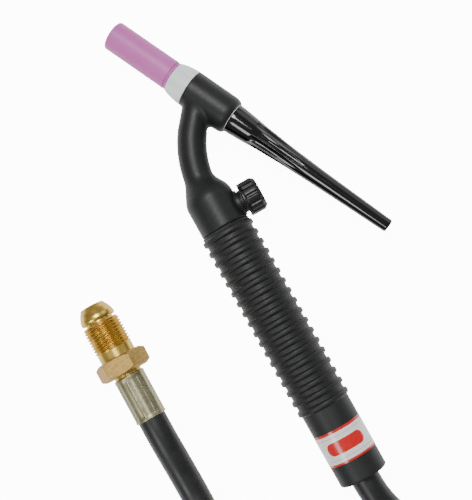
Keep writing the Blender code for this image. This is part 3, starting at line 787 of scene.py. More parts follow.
@dataclass(frozen=True)
class Layout:
    """Where the sub-assemblies lie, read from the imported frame's boxes and joints."""

    handle_front: float = 0.0033
    neck_radius: float = 0.00845
    neck_arc: float = 0.058
    neck_start: float = 0.0275
    neck_turn: float = math.radians(42)

    @property
    def torch(self) -> Axis:
        """The handle's axis. Its origin is at the first rib.

        Returns:
            The axis.
        """
        low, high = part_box("handle")
        middle = (np.array(low) + np.array(high)) / 2
        return Axis(np.array([middle[0], high[1] - self.handle_front, middle[2]]), np.array([0.0, 1.0, 0.0]))

    @property
    def head(self) -> Axis:
        """The head's axis, towards the nozzle, from where the neck meets it."""
        return joint_axis("nozzle_turn")

    @property
    def valve(self) -> Axis:
        """The valve knob's axis."""
        return joint_axis("knob_turn")

    @property
    def fitting(self) -> Axis:
        """The inlet fitting's axis, level with the first rib."""
        nut = joint_axis("nut_spin")
        return Axis(np.array([nut.origin[0], self.torch.origin[1], nut.origin[2]]), nut.along)

    def neck_line(self, distance: np.ndarray | float) -> tuple[np.ndarray, np.ndarray]:
        """The neck's centre line: straight along the handle, then an arc, then straight again.

        Args:
            distance: Distances from the arc's start, below 0 on the handle's side.

        Returns:
            The points, and the angle turned through at each.
        """
        distance = np.asarray(distance, float)
        turn = np.clip(distance / self.neck_arc, 0.0, self.neck_turn)
        beyond = distance - turn * self.neck_arc
        x = self.neck_arc * (1 - np.cos(turn)) + beyond * np.sin(turn)
        y = self.neck_start + self.neck_arc * np.sin(turn) + beyond * np.cos(turn)
        return self.torch.origin + np.stack([x, y, 0 * x], axis=-1), turn


LAYOUT = Layout()


# ---------------------------------------------------------------- sub-assemblies


@dataclass
class FrontEnd:
    """Nozzle and heat shield, turned on the head's axis. Distances are from the head's middle to the front."""

    shield_rear: float = 0.0069
    shield_front: float = 0.0184
    nozzle_rear: float = 0.0187
    nozzle_front: float = 0.0616
    nozzle_radius: float = 0.00875
    bore_radius: float = 0.00635
    thread_bore: float = 0.0059
    axis: Axis = field(default_factory=lambda: LAYOUT.head)

    def nozzle(self) -> bpy.types.Object:
        """The ceramic nozzle: a sleeve with a rounded rim and a ground groove in front of its rear lip.

        Returns:
            The piece.
        """
        rear, front, radius = self.nozzle_rear, self.nozzle_front, self.nozzle_radius
        groove = rear + 0.0013
        outline = rounded(
            [
                (rear, self.thread_bore, 0.0002),
                (rear, radius - 0.0001, 0.0004),
                (groove - 0.00035, radius - 0.0001, 0.0002),
                (groove - 0.0001, radius - 0.0006, 0.0001),
                (groove + 0.0003, radius - 0.0006, 0.0001),
                (groove + 0.0006, radius, 0.0002),
                (front, radius, 0.0011),
                (front, self.bore_radius, 0.0005),
                (0.0290, self.bore_radius, 0.0004),
                (0.0275, self.thread_bore, 0.0004),
            ],
            closed=True,
        )
        piece = turned("ceramic_nozzle", self.axis, outline, ALUMINA, closed=True)
        return place_piece(piece, "alumina", "cup", "nozzle")

    def shield(self) -> bpy.types.Object:
        """The heat shield: its radius is 9.0 mm + 2.0 mm times the 0.8th power of a quarter cosine.

        Returns:
            The piece.
        """
        share = np.linspace(0, 1, 25)
        bulge = np.clip(np.cos(math.pi / 2 * share), 0, 1) ** 0.8
        along = self.shield_rear + share * (self.shield_front - self.shield_rear)
        dome = np.stack([along, 0.0090 + 0.0020 * bulge], axis=1)
        inner = rounded(
            [
                (self.shield_front, 0.0090, 0),
                (self.shield_front, 0.0061, 0.0002),
                (self.shield_rear, 0.0061, 0.0002),
                (self.shield_rear, 0.0110, 0),
            ]
        )
        outline = np.concatenate([dome, inner[1:-1]])
        piece = turned("ptfe_heat_shield", self.axis, outline, PTFE, closed=True)
        sharpen(piece, 50)
        return place_piece(piece, "ptfe", "shield", "heat_shield")

    def build(self) -> None:
        """Makes the front end."""
        self.nozzle()
        self.shield()


@dataclass
class MouldedBody:
    """The rubber moulding: valve body, bending neck and head. Distances on the neck are from its arc's start."""

    body_radius: float = 0.0140
    shoulder_start: float = 0.0212
    shoulder_end: float = 0.0372
    head_radius: float = 0.01105
    head_front: float = 0.0066
    head_back: float = -0.0226
    head_back_radius: float = 0.00915
    head_bore: float = 0.0083
    neck_fillet: float = 0.0034
    spigot_radius: float = 0.0119
    spigot_length: float = 0.012
    rim: float = 0.0006
    boss_radius: float = 0.0067
    boss_step_radius: float = 0.0074
    boss_end: float = 0.0163
    tube_outer: float = 0.0040
    tube_inner: float = 0.0025
    bend_start_deg: float = 5.0
    bend_end_deg: float = 38.0

    def bend(self, piece: bpy.types.Object, slot: str, *nodes: str) -> None:
        """Bakes a piece's place into its mesh and hides the CAD nodes that it stands for.

        Args:
            piece: The piece.
            slot: The name of its material slot. Not used.
            nodes: The CAD nodes that it stands for.
        """
        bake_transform(piece)
        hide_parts(*nodes)
        LOG.info("%s bends between handle_body and head", piece.name)

    def shoulder(self, distance: np.ndarray) -> np.ndarray:
        """The moulding's radius: half a cosine falls from the body's radius to the neck's over the shoulder.

        Args:
            distance: Distances along the neck's centre line from the arc's start.

        Returns:
            The radius at each.
        """
        along = distance + LAYOUT.neck_start
        share = np.clip((along - self.shoulder_start) / (self.shoulder_end - self.shoulder_start), 0, 1)
        fall = (1 + np.cos(math.pi * share)) / 2
        return LAYOUT.neck_radius + (self.body_radius - LAYOUT.neck_radius) * fall

    def neck(self) -> bpy.types.Object:
        """One skin from the handle's front along the neck and, by a fillet, on to the head.

        The rings lie across the neck's centre line with the shoulder's radius. Each line of the last stretch
        runs straight to where the head's fillet starts on it.

        Returns:
            The piece.
        """
        layout = LAYOUT
        count = 96
        meeting = layout.neck_turn * layout.neck_arc + 0.014
        heading = np.array([math.sin(layout.neck_turn), math.cos(layout.neck_turn), 0.0])
        branch = Axis(layout.neck_line(meeting)[0], heading)

        def room(along: np.ndarray) -> np.ndarray:
            """How far the fillet may reach before the head's front edge."""
            return np.clip(self.head_front - 0.0005 - along, 0.0008, 1.0)

        last = saddle_fillet(
            branch, layout.neck_radius, layout.head, self.head_radius, self.neck_fillet, room, count, 12
        )
        front = layout.handle_front + 0.0003 - layout.neck_start
        quarter = np.linspace(0, math.pi / 2, 5)
        lip = front + self.rim * (1 - np.cos(quarter))
        shrink = self.rim * (1 - np.sin(quarter))
        straight = np.linspace(front + self.rim, meeting - 0.0215, 110)[1:]
        distance = np.concatenate([lip, straight])
        radius = self.shoulder(distance)
        radius[: len(shrink)] -= shrink
        path, turn = layout.neck_line(distance)
        level = np.stack([np.cos(turn), -np.sin(turn), 0 * turn], axis=1)[:, None]
        angle = ring_angles(count)[None, :, None]
        rings = path[:, None] + radius[:, None, None] * (np.cos(angle) * level + np.sin(angle) * UP)
        share = np.linspace(0, 1, 9)[1:-1, None, None]
        bridge = (1 - share) * rings[-1] + share * last[0]
        # A plain spigot that reaches back into the handle.
        step = path[0] + (rings[:1] - path[0]) * (self.spigot_radius / radius[0])
        spigot = step - self.spigot_length * LAYOUT.torch.along
        piece = skin("moulded_neck", np.concatenate([spigot, step, rings, bridge, last]), MOULDED_RUBBER)
        sharpen(piece, 60)
        self.bend(piece, "moulded_rubber", "neck_sleeve", "valve_body_moulding")
        return piece

    def gas_tube(self) -> bpy.types.Object:
        """The copper tube inside the bending stretch: an outer and an inner wall joined at both ends.

        Returns:
            The piece.
        """
        distance = np.linspace(math.radians(8.3), math.radians(38.2), 24) * LAYOUT.neck_arc
        path = LAYOUT.neck_line(distance)[0]
        outer = tube_rings(path, self.tube_outer, 32)
        inner = tube_rings(path, self.tube_inner, 32)[::-1]
        piece = skin("neck_gas_tube", np.concatenate([outer, inner]), COPPER, endless=True)
        sharpen(piece, 50)
        self.bend(piece, "copper", "neck_tube")
        return piece

    def head(self) -> bpy.types.Object:
        """The head's sleeve: a straight barrel whose rear rounds in along a quarter ellipse.

        Returns:
            The piece.
        """
        turn = np.linspace(0, math.pi / 2, 12)
        length, drop = 0.0050, self.head_radius - self.head_back_radius
        rear = np.stack(
            [
                self.head_back + 0.0002 + length * (1 - np.sin(turn)),
                self.head_radius - drop * (1 - np.cos(turn)),
            ],
            axis=1,
        )
        front = rounded(
            [
                (self.head_back, self.head_back_radius, 0),
                (self.head_back, self.head_bore, 0.0003),
                (self.head_front, self.head_bore, 0.0003),
                (self.head_front, self.head_radius, 0.00035),
                (self.head_front - 0.010, self.head_radius, 0),
            ]
        )
        barrel = np.linspace(self.head_front - 0.011, rear[0, 0], 8)[1:-1]
        sides = np.stack([barrel, np.full(len(barrel), self.head_radius)], axis=1)
        outline = np.concatenate([front[1:], sides, rear])
        piece = turned("moulded_head", LAYOUT.head, outline, MOULDED_RUBBER, count=128, closed=True)
        sharpen(piece, 60)
        return place_piece(piece, "moulded_rubber", "head", "head_moulding")

    def boss(self) -> bpy.types.Object:
        """The knob's boss: a fillet from the valve body, a step, a groove and a collar.

        Returns:
            The piece.
        """
        into = Axis(LAYOUT.valve.origin, -LAYOUT.valve.along)
        fillet = saddle_fillet(into, self.boss_step_radius, LAYOUT.torch, self.body_radius, 0.0013, count=72)
        outline = rounded(
            [
                (0.0120, self.boss_step_radius, 0),
                (self.boss_end - 0.0016, self.boss_step_radius, 0.0003),
                (self.boss_end - 0.0015, self.boss_radius - 0.0003, 0.0001),
                (self.boss_end - 0.0010, self.boss_radius - 0.0003, 0.0001),
                (self.boss_end - 0.0009, self.boss_radius, 0.0001),
                (self.boss_end + 0.0003, self.boss_radius, 0.00015),
                (self.boss_end + 0.0003, 0.0034, 0),
            ]
        )[1:]
        # The same turn round the axis as the fillet's rings, which head the other way.
        angle = math.pi - ring_angles(72)[None, :]
        rings = LAYOUT.valve.place(outline[:, :1], outline[:, 1:], angle)
        piece = skin("valve_boss", np.concatenate([fillet[::-1], rings]), MOULDED_RUBBER)
        sharpen(piece, 60)
        return place_piece(piece, "moulded_rubber", "handle_body")

    def build(self) -> None:
        """Makes the moulding's pieces."""
        self.neck()
        self.gas_tube()
        self.head()
        self.boss()


@dataclass
class BackCap:
    """The long back cap. Distances are from its face against the head, towards its tail."""

    flutes: int = 10
    length: float = 0.1069
    nose_radius: float = 0.0062
    nose_length: float = 0.0118
    flute_start: float = 0.0128
    head_back: float = -0.0229

    def barrel(self, along: np.ndarray) -> np.ndarray:
        """The cap's outline: its radius at measured places along it, joined by straight tapers.

        Args:
            along: Distances from the cap's face.

        Returns:
            The radius at each.
        """
        places = (0.0, 0.002, 0.009, 0.014, 0.020, 0.029, 0.041, 0.060, 0.083, 0.107)
        radii = (0.0087, 0.0087, 0.00815, 0.0077, 0.0071, 0.0065, 0.00575, 0.00500, 0.0044, 0.00385)
        return np.interp(along, places, radii)

    def channel_floor(self, along: np.ndarray) -> np.ndarray:
        """The radius at a flute's floor: it runs in steeply behind the collar and out where the tail is slim.

        Args:
            along: Distances from the cap's face.

        Returns:
            The radius at each.
        """
        places = (0.0, 0.0128, 0.0155, 0.019, 0.025, 0.033, 0.041, 0.050, 0.107)
        radii = (0.0120, 0.0083, 0.0070, 0.0063, 0.0058, 0.00552, 0.00540, 0.00540, 0.0054)
        return np.interp(along, places, radii)

    def fluted(self, along: np.ndarray, radius: np.ndarray, angle: np.ndarray) -> np.ndarray:
        """The lower of the outline and the flutes: floor + k (2u - 1)^2, u being the share across a flute.

        Args:
            along: Distances from the cap's face.
            radius: The outline's radii there.
            angle: Angles round the cap.

        Returns:
            The radii with the flutes cut between the collar and the tail's rounded end.
        """
        floor = self.channel_floor(along)
        across = 2 * np.mod(angle * self.flutes / (2 * math.pi), 1.0) - 1
        k = np.maximum(1.12 * (self.barrel(along) - floor), 0.0007)
        cut = soft_minimum(radius, floor + k * across**2, 0.00004)
        return np.where((along > self.flute_start) & (along < self.length - 0.002), cut, radius)

    def build(self) -> None:
        """Makes the cap as one piece with its nose inside the head."""
        end = self.length
        start = self.flute_start
        along = np.concatenate(
            [
                np.linspace(0.0009, start, 14),
                np.linspace(start + 0.0002, 0.034, 120),
                np.linspace(0.0343, end - 0.002, 120),
            ]
        )
        barrel = np.stack([along, self.barrel(along)], axis=1)
        nose = rounded(
            [
                (-self.nose_length, 0.0020, 0),
                (-self.nose_length, self.nose_radius - 0.0006, 0.0002),
                (-self.nose_length + 0.0008, self.nose_radius, 0.0002),
                (-0.0027, self.nose_radius, 0.0001),
                (-0.0027, 0.0052, 0.0001),
                (-0.0011, 0.0052, 0.0001),
                (-0.0011, self.nose_radius, 0.0001),
                (0.0, self.nose_radius, 0.0001),
                (0.0, 0.0087, 0.00035),
                (0.0020, 0.0087, 0),
            ]
        )[:-1]
        tail = rounded([(end - 0.004, 0.0040, 0), (end, 0.00385, 0.0011), (end, 0.0004, 0)])[1:]
        outline = np.concatenate([nose, barrel[1:], tail])
        away = Axis(LAYOUT.head.origin + self.head_back * LAYOUT.head.along, -LAYOUT.head.along)

        piece = turned("long_back_cap", away, outline, PHENOLIC, count=240, relief=self.fluted)
        sharpen(piece, 60)
        place_piece(piece, "cap_phenolic", "cap", "back_cap")
        # A thin white ring between the cap's face and the head, which stands in for the light line along the cap's
        # front edge.
        light_ring_outline = np.array([(-0.00026, 0.0070), (-0.00026, 0.00895), (-0.00002, 0.00895), (-0.00002, 0.0070)])
        light_ring = turned("cap_face_light_ring", away, light_ring_outline, PTFE, closed=True)
        sharpen(light_ring, 40)
        place_piece(light_ring, "ptfe", "cap")


@dataclass
class ValveKnob:
    """The gas valve's knob, on its own axis. Distances are from the handle's axis."""

    radius: float = 0.0101
    back: float = 0.0168
    front: float = 0.0274
    flutes: int = 12
    flute_depth: float = 0.00075
    bore: float = 0.0033

    def grooved(self, along: np.ndarray, radius: np.ndarray, angle: np.ndarray) -> np.ndarray:
        """Narrow grooves: exp(-(x/w)^4) across each flute, between the rear lip and the front chamfer.

        Args:
            along: Distances from the handle's axis.
            radius: The outline's radii there.
            angle: Angles round the knob.

        Returns:
            The radii with the grooves cut.
        """
        across = np.mod(angle * self.flutes / (2 * math.pi) + 0.5, 1.0) - 0.5
        dip = np.exp(-((across / 0.17) ** 4))
        rear = smoothstep((along - self.back - 0.0016) / 0.0004)
        fore = smoothstep((self.front - 0.0008 - along) / 0.0006)
        on_side = radius > self.radius - 0.0022
        return radius - np.where(on_side, self.flute_depth * dip * rear * fore, 0)

    def build(self) -> None:
        """Makes the knob: a lip, grooved ridges, a chamfer and a shallow dish in its face."""
        radius, back, front = self.radius, self.back, self.front
        side = np.linspace(back + 0.0016, front - 0.0024, 16)
        ridges = np.stack([side, np.full(len(side), radius - 0.00015)], axis=1)
        rear = rounded(
            [
                (back + 0.004, 0.0031, 0),
                (back, 0.0031, 0.0002),
                (back, radius - 0.0001, 0.0003),
                (back + 0.0010, radius - 0.0001, 0.00015),
                (back + 0.0012, radius - 0.0005, 0.0001),
                (back + 0.0015, radius - 0.00015, 0),
            ]
        )[:-1]
        face = rounded(
            [
                (front - 0.0026, radius - 0.00015, 0),
                (front - 0.0020, radius - 0.0002, 0.0003),
                (front, radius - 0.0019, 0.0003),
                (front, 0.0062, 0.0003),
                (front - 0.0006, 0.0056, 0.0003),
                (front - 0.0006, 0.0004, 0),
            ]
        )
        outline = np.concatenate([rear, ridges, face])
        piece = turned("gas_valve_knob", LAYOUT.valve, outline, KNOB_NYLON, count=288, relief=self.grooved)
        sharpen(piece, 55)
        place_piece(piece, "knob_plastic", "knob", "valve_knob")


@dataclass
class Handle:
    """The ribbed handle and its label. Distances are from the first rib, towards the head."""

    rib_radius: float = 0.01565
    root_radius: float = 0.01420
    sleeve_radius: float = 0.01405
    rib_pitch: float = 0.00631
    rib_count: int = 18
    rib_foot: float = 0.00185
    rib_top: float = 0.00125
    front: float = 0.0033
    rear: float = -0.1528
    bore: float = 0.0123
    mouth: float = 0.0088
    label_front: float = -0.1217
    label_rear: float = -0.1403

    def grip(self) -> bpy.types.Object:
        """The handle: rounded ribs at even pitch, a plain sleeve and a mouth round the hose.

        Returns:
            The piece.
        """
        corners = [
            (self.front, self.bore, 0.0003),
            (self.front, self.root_radius + 0.0004, 0.0004),
        ]
        for rib in range(self.rib_count):
            middle = -self.rib_pitch * rib
            corners += [
                (middle + self.rib_foot, self.root_radius, 0.0005),
                (middle + self.rib_top, self.rib_radius, 0.0011),
                (middle - self.rib_top, self.rib_radius, 0.0011),
                (middle - self.rib_foot, self.root_radius, 0.0005),
            ]
        corners += [
            (self.rear, self.sleeve_radius, 0.0011),
            (self.rear, self.mouth, 0.0006),
            (self.rear + 0.007, self.mouth, 0.0005),
            (self.rear + 0.013, self.bore, 0.0005),
        ]
        outline = rounded(corners, steps=3, closed=True)
        piece = turned("ribbed_handle", LAYOUT.torch, outline, HANDLE_RUBBER, count=112, closed=True)
        return place_piece(piece, "handle_rubber", "handle_body", "handle")

    def label(self) -> bpy.types.Object:
        """The label: a film 0.12 mm thick round the sleeve.

        Returns:
            The piece.
        """
        inner, outer = self.sleeve_radius + 0.00004, self.sleeve_radius + 0.00016
        outline = rounded(
            [
                (self.label_rear, inner, 0),
                (self.label_rear, outer, 0.00004),
                (self.label_front, outer, 0.00004),
                (self.label_front, inner, 0),
            ],
            closed=True,
        )
        # The surface map starts at the first point, which is at the label's rear.
        outline = np.roll(outline, -int(np.argmin(outline[:, 0])), axis=0)
        piece = turned("printed_label", LAYOUT.torch, outline, LABEL_FILM, count=128, closed=True)
        return place_piece(piece, "label_film", "handle_body", "handle_label")

    def build(self) -> None:
        """Makes the handle and its label."""
        self.grip()
        self.label()


@dataclass
class InletFitting:
    """The hose's brass inlet: nipple, swivel nut and crimped ferrule. Distances are from the handle's first rib."""

    nose_front: float = 0.0024
    thread_front: float = -0.0087
    thread_rear: float = -0.0249
    thread_radius: float = 0.0111
    root_radius: float = 0.0099
    thread_pitch: float = 0.001814
    relief_radius: float = 0.0104
    hex_front: float = -0.0300
    hex_rear: float = -0.0405
    across_flats: float = 0.027
    nut_bore: float = 0.0085
    ferrule_front: float = -0.0419
    ferrule_rear: float = -0.0690
    ferrule_radius: float = 0.00905
    crimps: int = 8

    def nipple(self) -> bpy.types.Object:
        """The cone-nosed nipple, bored through.

        Returns:
            The piece.
        """
        nose = self.nose_front
        outline = rounded(
            [
                (nose, 0.0035, 0.0003),
                (nose, 0.0068, 0.0004),
                (nose - 0.0030, 0.0087, 0.0030),
                (nose - 0.0062, 0.0100, 0.0006),
                (-0.0055, 0.0102, 0.0003),
                (-0.0066, 0.0099, 0.0003),
                (-0.0067, 0.0080, 0.0001),
                (-0.0421, 0.0080, 0.0001),
                (-0.0422, 0.0040, 0.0001),
                (-0.0660, 0.0040, 0.0001),
                (-0.0660, 0.0035, 0.0001),
            ],
            closed=True,
        )
        piece = turned("inlet_nipple", LAYOUT.fitting, outline, BRASS, closed=True)
        return place_piece(piece, "brass", "handle_body", "fitting_nipple")

    def threaded(self, along: np.ndarray, radius: np.ndarray, angle: np.ndarray) -> np.ndarray:
        """A right-hand thread: a triangle wave of along/pitch + angle/turn, its crest and root a little cut off.

        The thread fades out over a third of a pitch at both ends of its length.

        Args:
            along: Distances from the handle's first rib.
            radius: The outline's radii there.
            angle: Angles round the nut.

        Returns:
            The radii with the thread cut.
        """
        phase = np.mod(along / self.thread_pitch + angle / (2 * math.pi), 1.0)
        wave = np.clip(1.25 * (1 - np.abs(2 * phase - 1)) - 0.12, 0, 1)
        fade = 0.35 * self.thread_pitch
        window = np.clip((self.thread_front - along) / fade, 0, 1) * np.clip((along - self.thread_rear) / fade, 0, 1)
        on_thread = (along <= self.thread_front) & (along >= self.thread_rear) & (radius > 0.0095)
        cut = self.root_radius + (self.thread_radius - self.root_radius) * wave
        return np.where(on_thread, self.relief_radius + (cut - self.relief_radius) * window, radius)

    def barrel(self) -> bpy.types.Object:
        """The nut's threaded barrel: 20 rings to a pitch, then a plain relief.

        Returns:
            The piece.
        """
        rows = int((self.thread_front - self.thread_rear) / self.thread_pitch * 20)
        screw = np.linspace(self.thread_front, self.thread_rear, rows)
        front = rounded(
            [
                (-0.030, self.nut_bore, 0),
                (self.thread_front + 0.0006, self.nut_bore, 0.0002),
                (self.thread_front + 0.0006, 0.0098, 0.0002),
                (self.thread_front, self.relief_radius, 0),
            ]
        )[:-1]
        rear = np.array([(self.thread_rear - 0.0003, self.relief_radius), (-0.031, self.relief_radius)])
        threads = np.stack([screw, np.full(rows, self.relief_radius)], axis=1)
        outline = np.concatenate([front, threads, rear])
        piece = turned(
            "nut_thread", LAYOUT.fitting, outline, BRASS, count=192, closed=True, relief=self.threaded
        )
        sharpen(piece, 75)
        return place_piece(piece, "brass", "inlet_nut", "swivel_nut")

    def hexagon(self) -> bpy.types.Object:
        """The nut's hexagon. The flats' radius is half the width over flats / cos(angle from the flat's middle).

        A 30 degree chamfer cone meets each line round the hexagon where the cone has that radius, so that the
        chamfer's edge is the curve a lathe leaves.

        Returns:
            The piece.
        """
        angle = ring_angles(144)[None, :]
        # The corners lie level at the sides, so that the nut rests on a flat.
        from_flat = np.mod(angle, math.pi / 3) - math.pi / 6
        flats = self.across_flats / 2 / np.cos(from_flat)
        face, slope = self.across_flats / 2 - 0.0008, math.tan(math.radians(30))
        corner_cut = (flats - face) * slope
        inner = np.full(flats.shape, self.nut_bore)
        rows = [
            (self.hex_rear + 0 * angle, inner),
            (self.hex_rear + 0 * angle, np.full(flats.shape, face)),
            (self.hex_rear + corner_cut, flats),
            (self.hex_front - corner_cut, flats),
            (self.hex_front + 0 * angle, np.full(flats.shape, face)),
            (self.hex_front + 0 * angle, inner),
        ]
        points = np.concatenate([LAYOUT.fitting.place(along, radius, angle) for along, radius in rows])
        piece = skin("nut_hexagon", points, BRASS_FLATS, endless=True)
        sharpen(piece, 20, 0.00022)
        return place_piece(piece, "brass", "inlet_nut")

    def crimped(self, along: np.ndarray, radius: np.ndarray, angle: np.ndarray) -> np.ndarray:
        """Jaw marks: narrow raised lines exp(-(x/w)^2) between pressed faces, fading out at both ends.

        Args:
            along: Distances from the handle's first rib.
            radius: The outline's radii there.
            angle: Angles round the ferrule.

        Returns:
            The radii as the jaws leave them.
        """
        across = np.mod(angle * self.crimps / (2 * math.pi) + 0.3, 1.0) - 0.5
        ridge = np.exp(-((across / 0.045) ** 2))
        face = 0.00022 * np.cos(math.pi * across) ** 2
        inside = smoothstep((self.ferrule_front - 0.0012 - along) / 0.0015)
        inside = inside * smoothstep((along - self.ferrule_rear - 0.0012) / 0.0015)
        pressed = -0.00012 - face + 0.00030 * ridge
        return radius + np.where(radius > 0.0088, pressed * inside, 0)

    def ferrule(self) -> bpy.types.Object:
        """The crimped ferrule, with its front closed in round the nipple.

        Returns:
            The piece.
        """
        front, rear, radius = self.ferrule_front, self.ferrule_rear, self.ferrule_radius
        side = np.linspace(front - 0.0008, rear + 0.0008, 40)
        sides = np.stack([side, np.full(len(side), radius)], axis=1)
        lip = rounded(
            [
                (rear + 0.0010, 0.00842, 0),
                (front - 0.0010, 0.00842, 0.0001),
                (front - 0.0010, 0.0043, 0.0001),
                (front, 0.0043, 0.0002),
                (front, radius, 0.0006),
                (front - 0.0015, radius, 0),
            ]
        )[:-1]
        end = rounded(
            [
                (rear + 0.0010, radius, 0),
                (rear, radius, 0.0003),
                (rear, 0.00842, 0.0001),
                (rear + 0.0009, 0.00842, 0),
            ]
        )[1:]
        outline = np.concatenate([lip, sides, end])
        piece = turned(
            "crimped_ferrule", LAYOUT.fitting, outline, PLATED_STEEL, count=160, closed=True,
            relief=self.crimped,
        )
        return place_piece(piece, "plated_steel", "handle_body", "fitting_ferrule")

    def build(self) -> list[bpy.types.Object]:
        """Makes the fitting's pieces and returns them."""
        return [self.nipple(), self.barrel(), self.hexagon(), self.ferrule()]


@dataclass
class Hose:
    """The power and gas hose: out of the handle, into a two-layer coil, and back to the inlet fitting.

    Route points are (x, y, height) from the handle's first rib and the floor.
    """

    diameter: float = 0.0163
    layer_pitch: float = 0.0165
    coil_middle: tuple[float, float] = (-0.0352, -0.3002)
    outer_turn: float = 0.110
    low_layer: float = 0.00965
    start_deg: float = 55.0
    end_deg: float = 136.0
    whole_turns: int = 5
    turnback_deg: float = 15.0
    rise_deg: float = 120.0
    start_lift: float = 0.0026
    settle_deg: float = 50.0
    strap_width: float = 0.020
    strap_thickness: float = 0.0011
    torch_side: tuple[tuple[float, float, float], ...] = (
        (0.0000, -0.1473, 0.01565),
        (0.0000, -0.1558, 0.01565),
        (0.0005, -0.1649, 0.01546),
        (0.0023, -0.1738, 0.01498),
        (0.0054, -0.1824, 0.01431),
        (0.0098, -0.1905, 0.01360),
        (0.0153, -0.1980, 0.01300),
        (0.0216, -0.2045, 0.01250),
    )
    fitting_side: tuple[tuple[float, float, float], ...] = (
        (-0.0880, -0.0446, 0.0135),
        (-0.0880, -0.0560, 0.0135),
        (-0.0880, -0.0660, 0.0135),
        (-0.0880, -0.0725, 0.0135),
        (-0.0880, -0.0790, 0.0134),
        (-0.0880, -0.0880, 0.0124),
        (-0.0880, -0.0980, 0.0106),
        (-0.0880, -0.1080, 0.0091),
        (-0.0880, -0.1190, 0.0083),
        (-0.0880, -0.1292, 0.0087),
        (-0.0880, -0.1394, 0.0099),
        (-0.0880, -0.1495, 0.0116),
        (-0.0881, -0.1597, 0.0137),
        (-0.0887, -0.1697, 0.0160),
        (-0.0902, -0.1797, 0.0184),
        (-0.0928, -0.1895, 0.0208),
        (-0.0965, -0.1990, 0.0229),
        (-0.1013, -0.2079, 0.0245),
        (-0.1072, -0.2161, 0.0256),
    )

    @property
    def turned_deg(self) -> float:
        """How far the coil is wound, clockwise from above."""
        return 360.0 * self.whole_turns + (self.start_deg - self.end_deg) % 360.0

    def wound(self, travelled: np.ndarray) -> tuple[np.ndarray, np.ndarray]:
        """The coil's line: a spiral in by a pitch a turn, and a spiral out on top of it.

        With x the degrees past the middle and w the turnback, the radius grows as sqrt(x^2 + w^2), which runs
        straight down and up again with a rounded turn. The height rises by a layer round the middle.

        Args:
            travelled: Degrees wound from the coil's start.

        Returns:
            The distance from the coil's middle and the height above the floor.
        """
        past = travelled - self.turned_deg / 2
        grown = np.hypot(past, self.turnback_deg) - math.hypot(self.turned_deg / 2, self.turnback_deg)
        radius = self.outer_turn + self.layer_pitch * grown / 360.0
        climbed = smoothstep(past / self.rise_deg + 0.5)
        lifted = self.start_lift * (1 - smoothstep(travelled / self.settle_deg))
        return radius, self.low_layer + self.layer_pitch * climbed + lifted

    def coil(self) -> np.ndarray:
        """Winds the coil, clockwise from above.

        Returns:
            Points along it, one for every 5 degrees.
        """
        travelled = np.linspace(0.0, self.turned_deg, round(self.turned_deg / 5.0) + 1)
        radius, height = self.wound(travelled)
        angle = np.radians(self.start_deg - travelled)
        middle = np.array(self.coil_middle)
        x, y = middle[0] + radius * np.cos(angle), middle[1] + radius * np.sin(angle)
        return np.stack([x, y, height], axis=1)

    def route(self) -> np.ndarray:
        """Joins the free sides and the coil.

        Returns:
            The whole centre line in the shared frame, a point about every 5 mm.
        """
        knots = [*self.torch_side, *map(tuple, self.coil()), *reversed(self.fitting_side)]
        points = smooth_through(knots, 0.005)
        origin = LAYOUT.torch.origin
        return points + np.array([origin[0], origin[1], 0.0])

    def strap(self, name: str, degrees: float, node: str) -> bpy.types.Object:
        """A strap round the coil's bundle.

        Across the bundle its loop is the outline of the turns pulled tight: in each direction n it touches the
        turn that reaches furthest, at that turn's middle + its radius times n. Its width wraps round the coil's
        middle, and its rings are thick bands.

        Args:
            name: The piece's name.
            degrees: Where on the coil it sits.
            node: The CAD node that it stands for.

        Returns:
            The strap.
        """
        first = (self.start_deg - degrees) % 360.0
        passes = np.arange(first, self.turned_deg, 360.0)
        radius, height = self.wound(passes)
        lean = ring_angles(96)
        normal = np.stack([np.cos(lean), np.sin(lean)], axis=1)
        centres = np.stack([radius, height], axis=1)
        furthest = centres[np.argmax(normal @ centres.T, axis=1)]
        reach = self.diameter / 2 + 0.0003
        half, skin_depth = self.strap_width / 2, self.strap_thickness
        top = [(-1, 0), (-0.96, 0.35), (-0.9, 0.5), (0, 0.5), (0.9, 0.5), (0.96, 0.35), (1, 0)]
        edge = np.array([*top, *((across, -depth) for across, depth in reversed(top[1:-1]))])
        loops = furthest[:, None] + (reach + skin_depth * (0.5 + edge[None, :, 1:])) * normal[:, None]
        along = half * edge[None, :, 0] / loops[..., 0]
        angle = math.radians(degrees) + along
        origin = LAYOUT.torch.origin
        x = origin[0] + self.coil_middle[0] + loops[..., 0] * np.cos(angle)
        y = origin[1] + self.coil_middle[1] + loops[..., 0] * np.sin(angle)
        z = np.maximum(loops[..., 1], 0.0003)
        piece = skin(name, np.stack([x, y, z], axis=-1), STRAP_NYLON, endless=True)
        return place_piece(piece, "strap_webbing", "handle_body", node)

    def build(self, fitting: list[bpy.types.Object]) -> None:
        """Args:
            fitting: The pieces on its far end. Not used.
        """
        path = self.route()
        piece = skin("power_gas_hose", tube_rings(path, self.diameter / 2, 28), HOSE_RUBBER)
        sharpen(piece, 60)
        nodes = ("hose_torch_side", "hose_coil", "hose_fitting_side", "hose_end_fitting")
        place_piece(piece, "hose_rubber", "handle_body", *nodes)
        straps = [
            self.strap("tie_strap_left", -135.0, "coil_strap_left"),
            self.strap("tie_strap_right", -45.0, "coil_strap_right"),
        ]


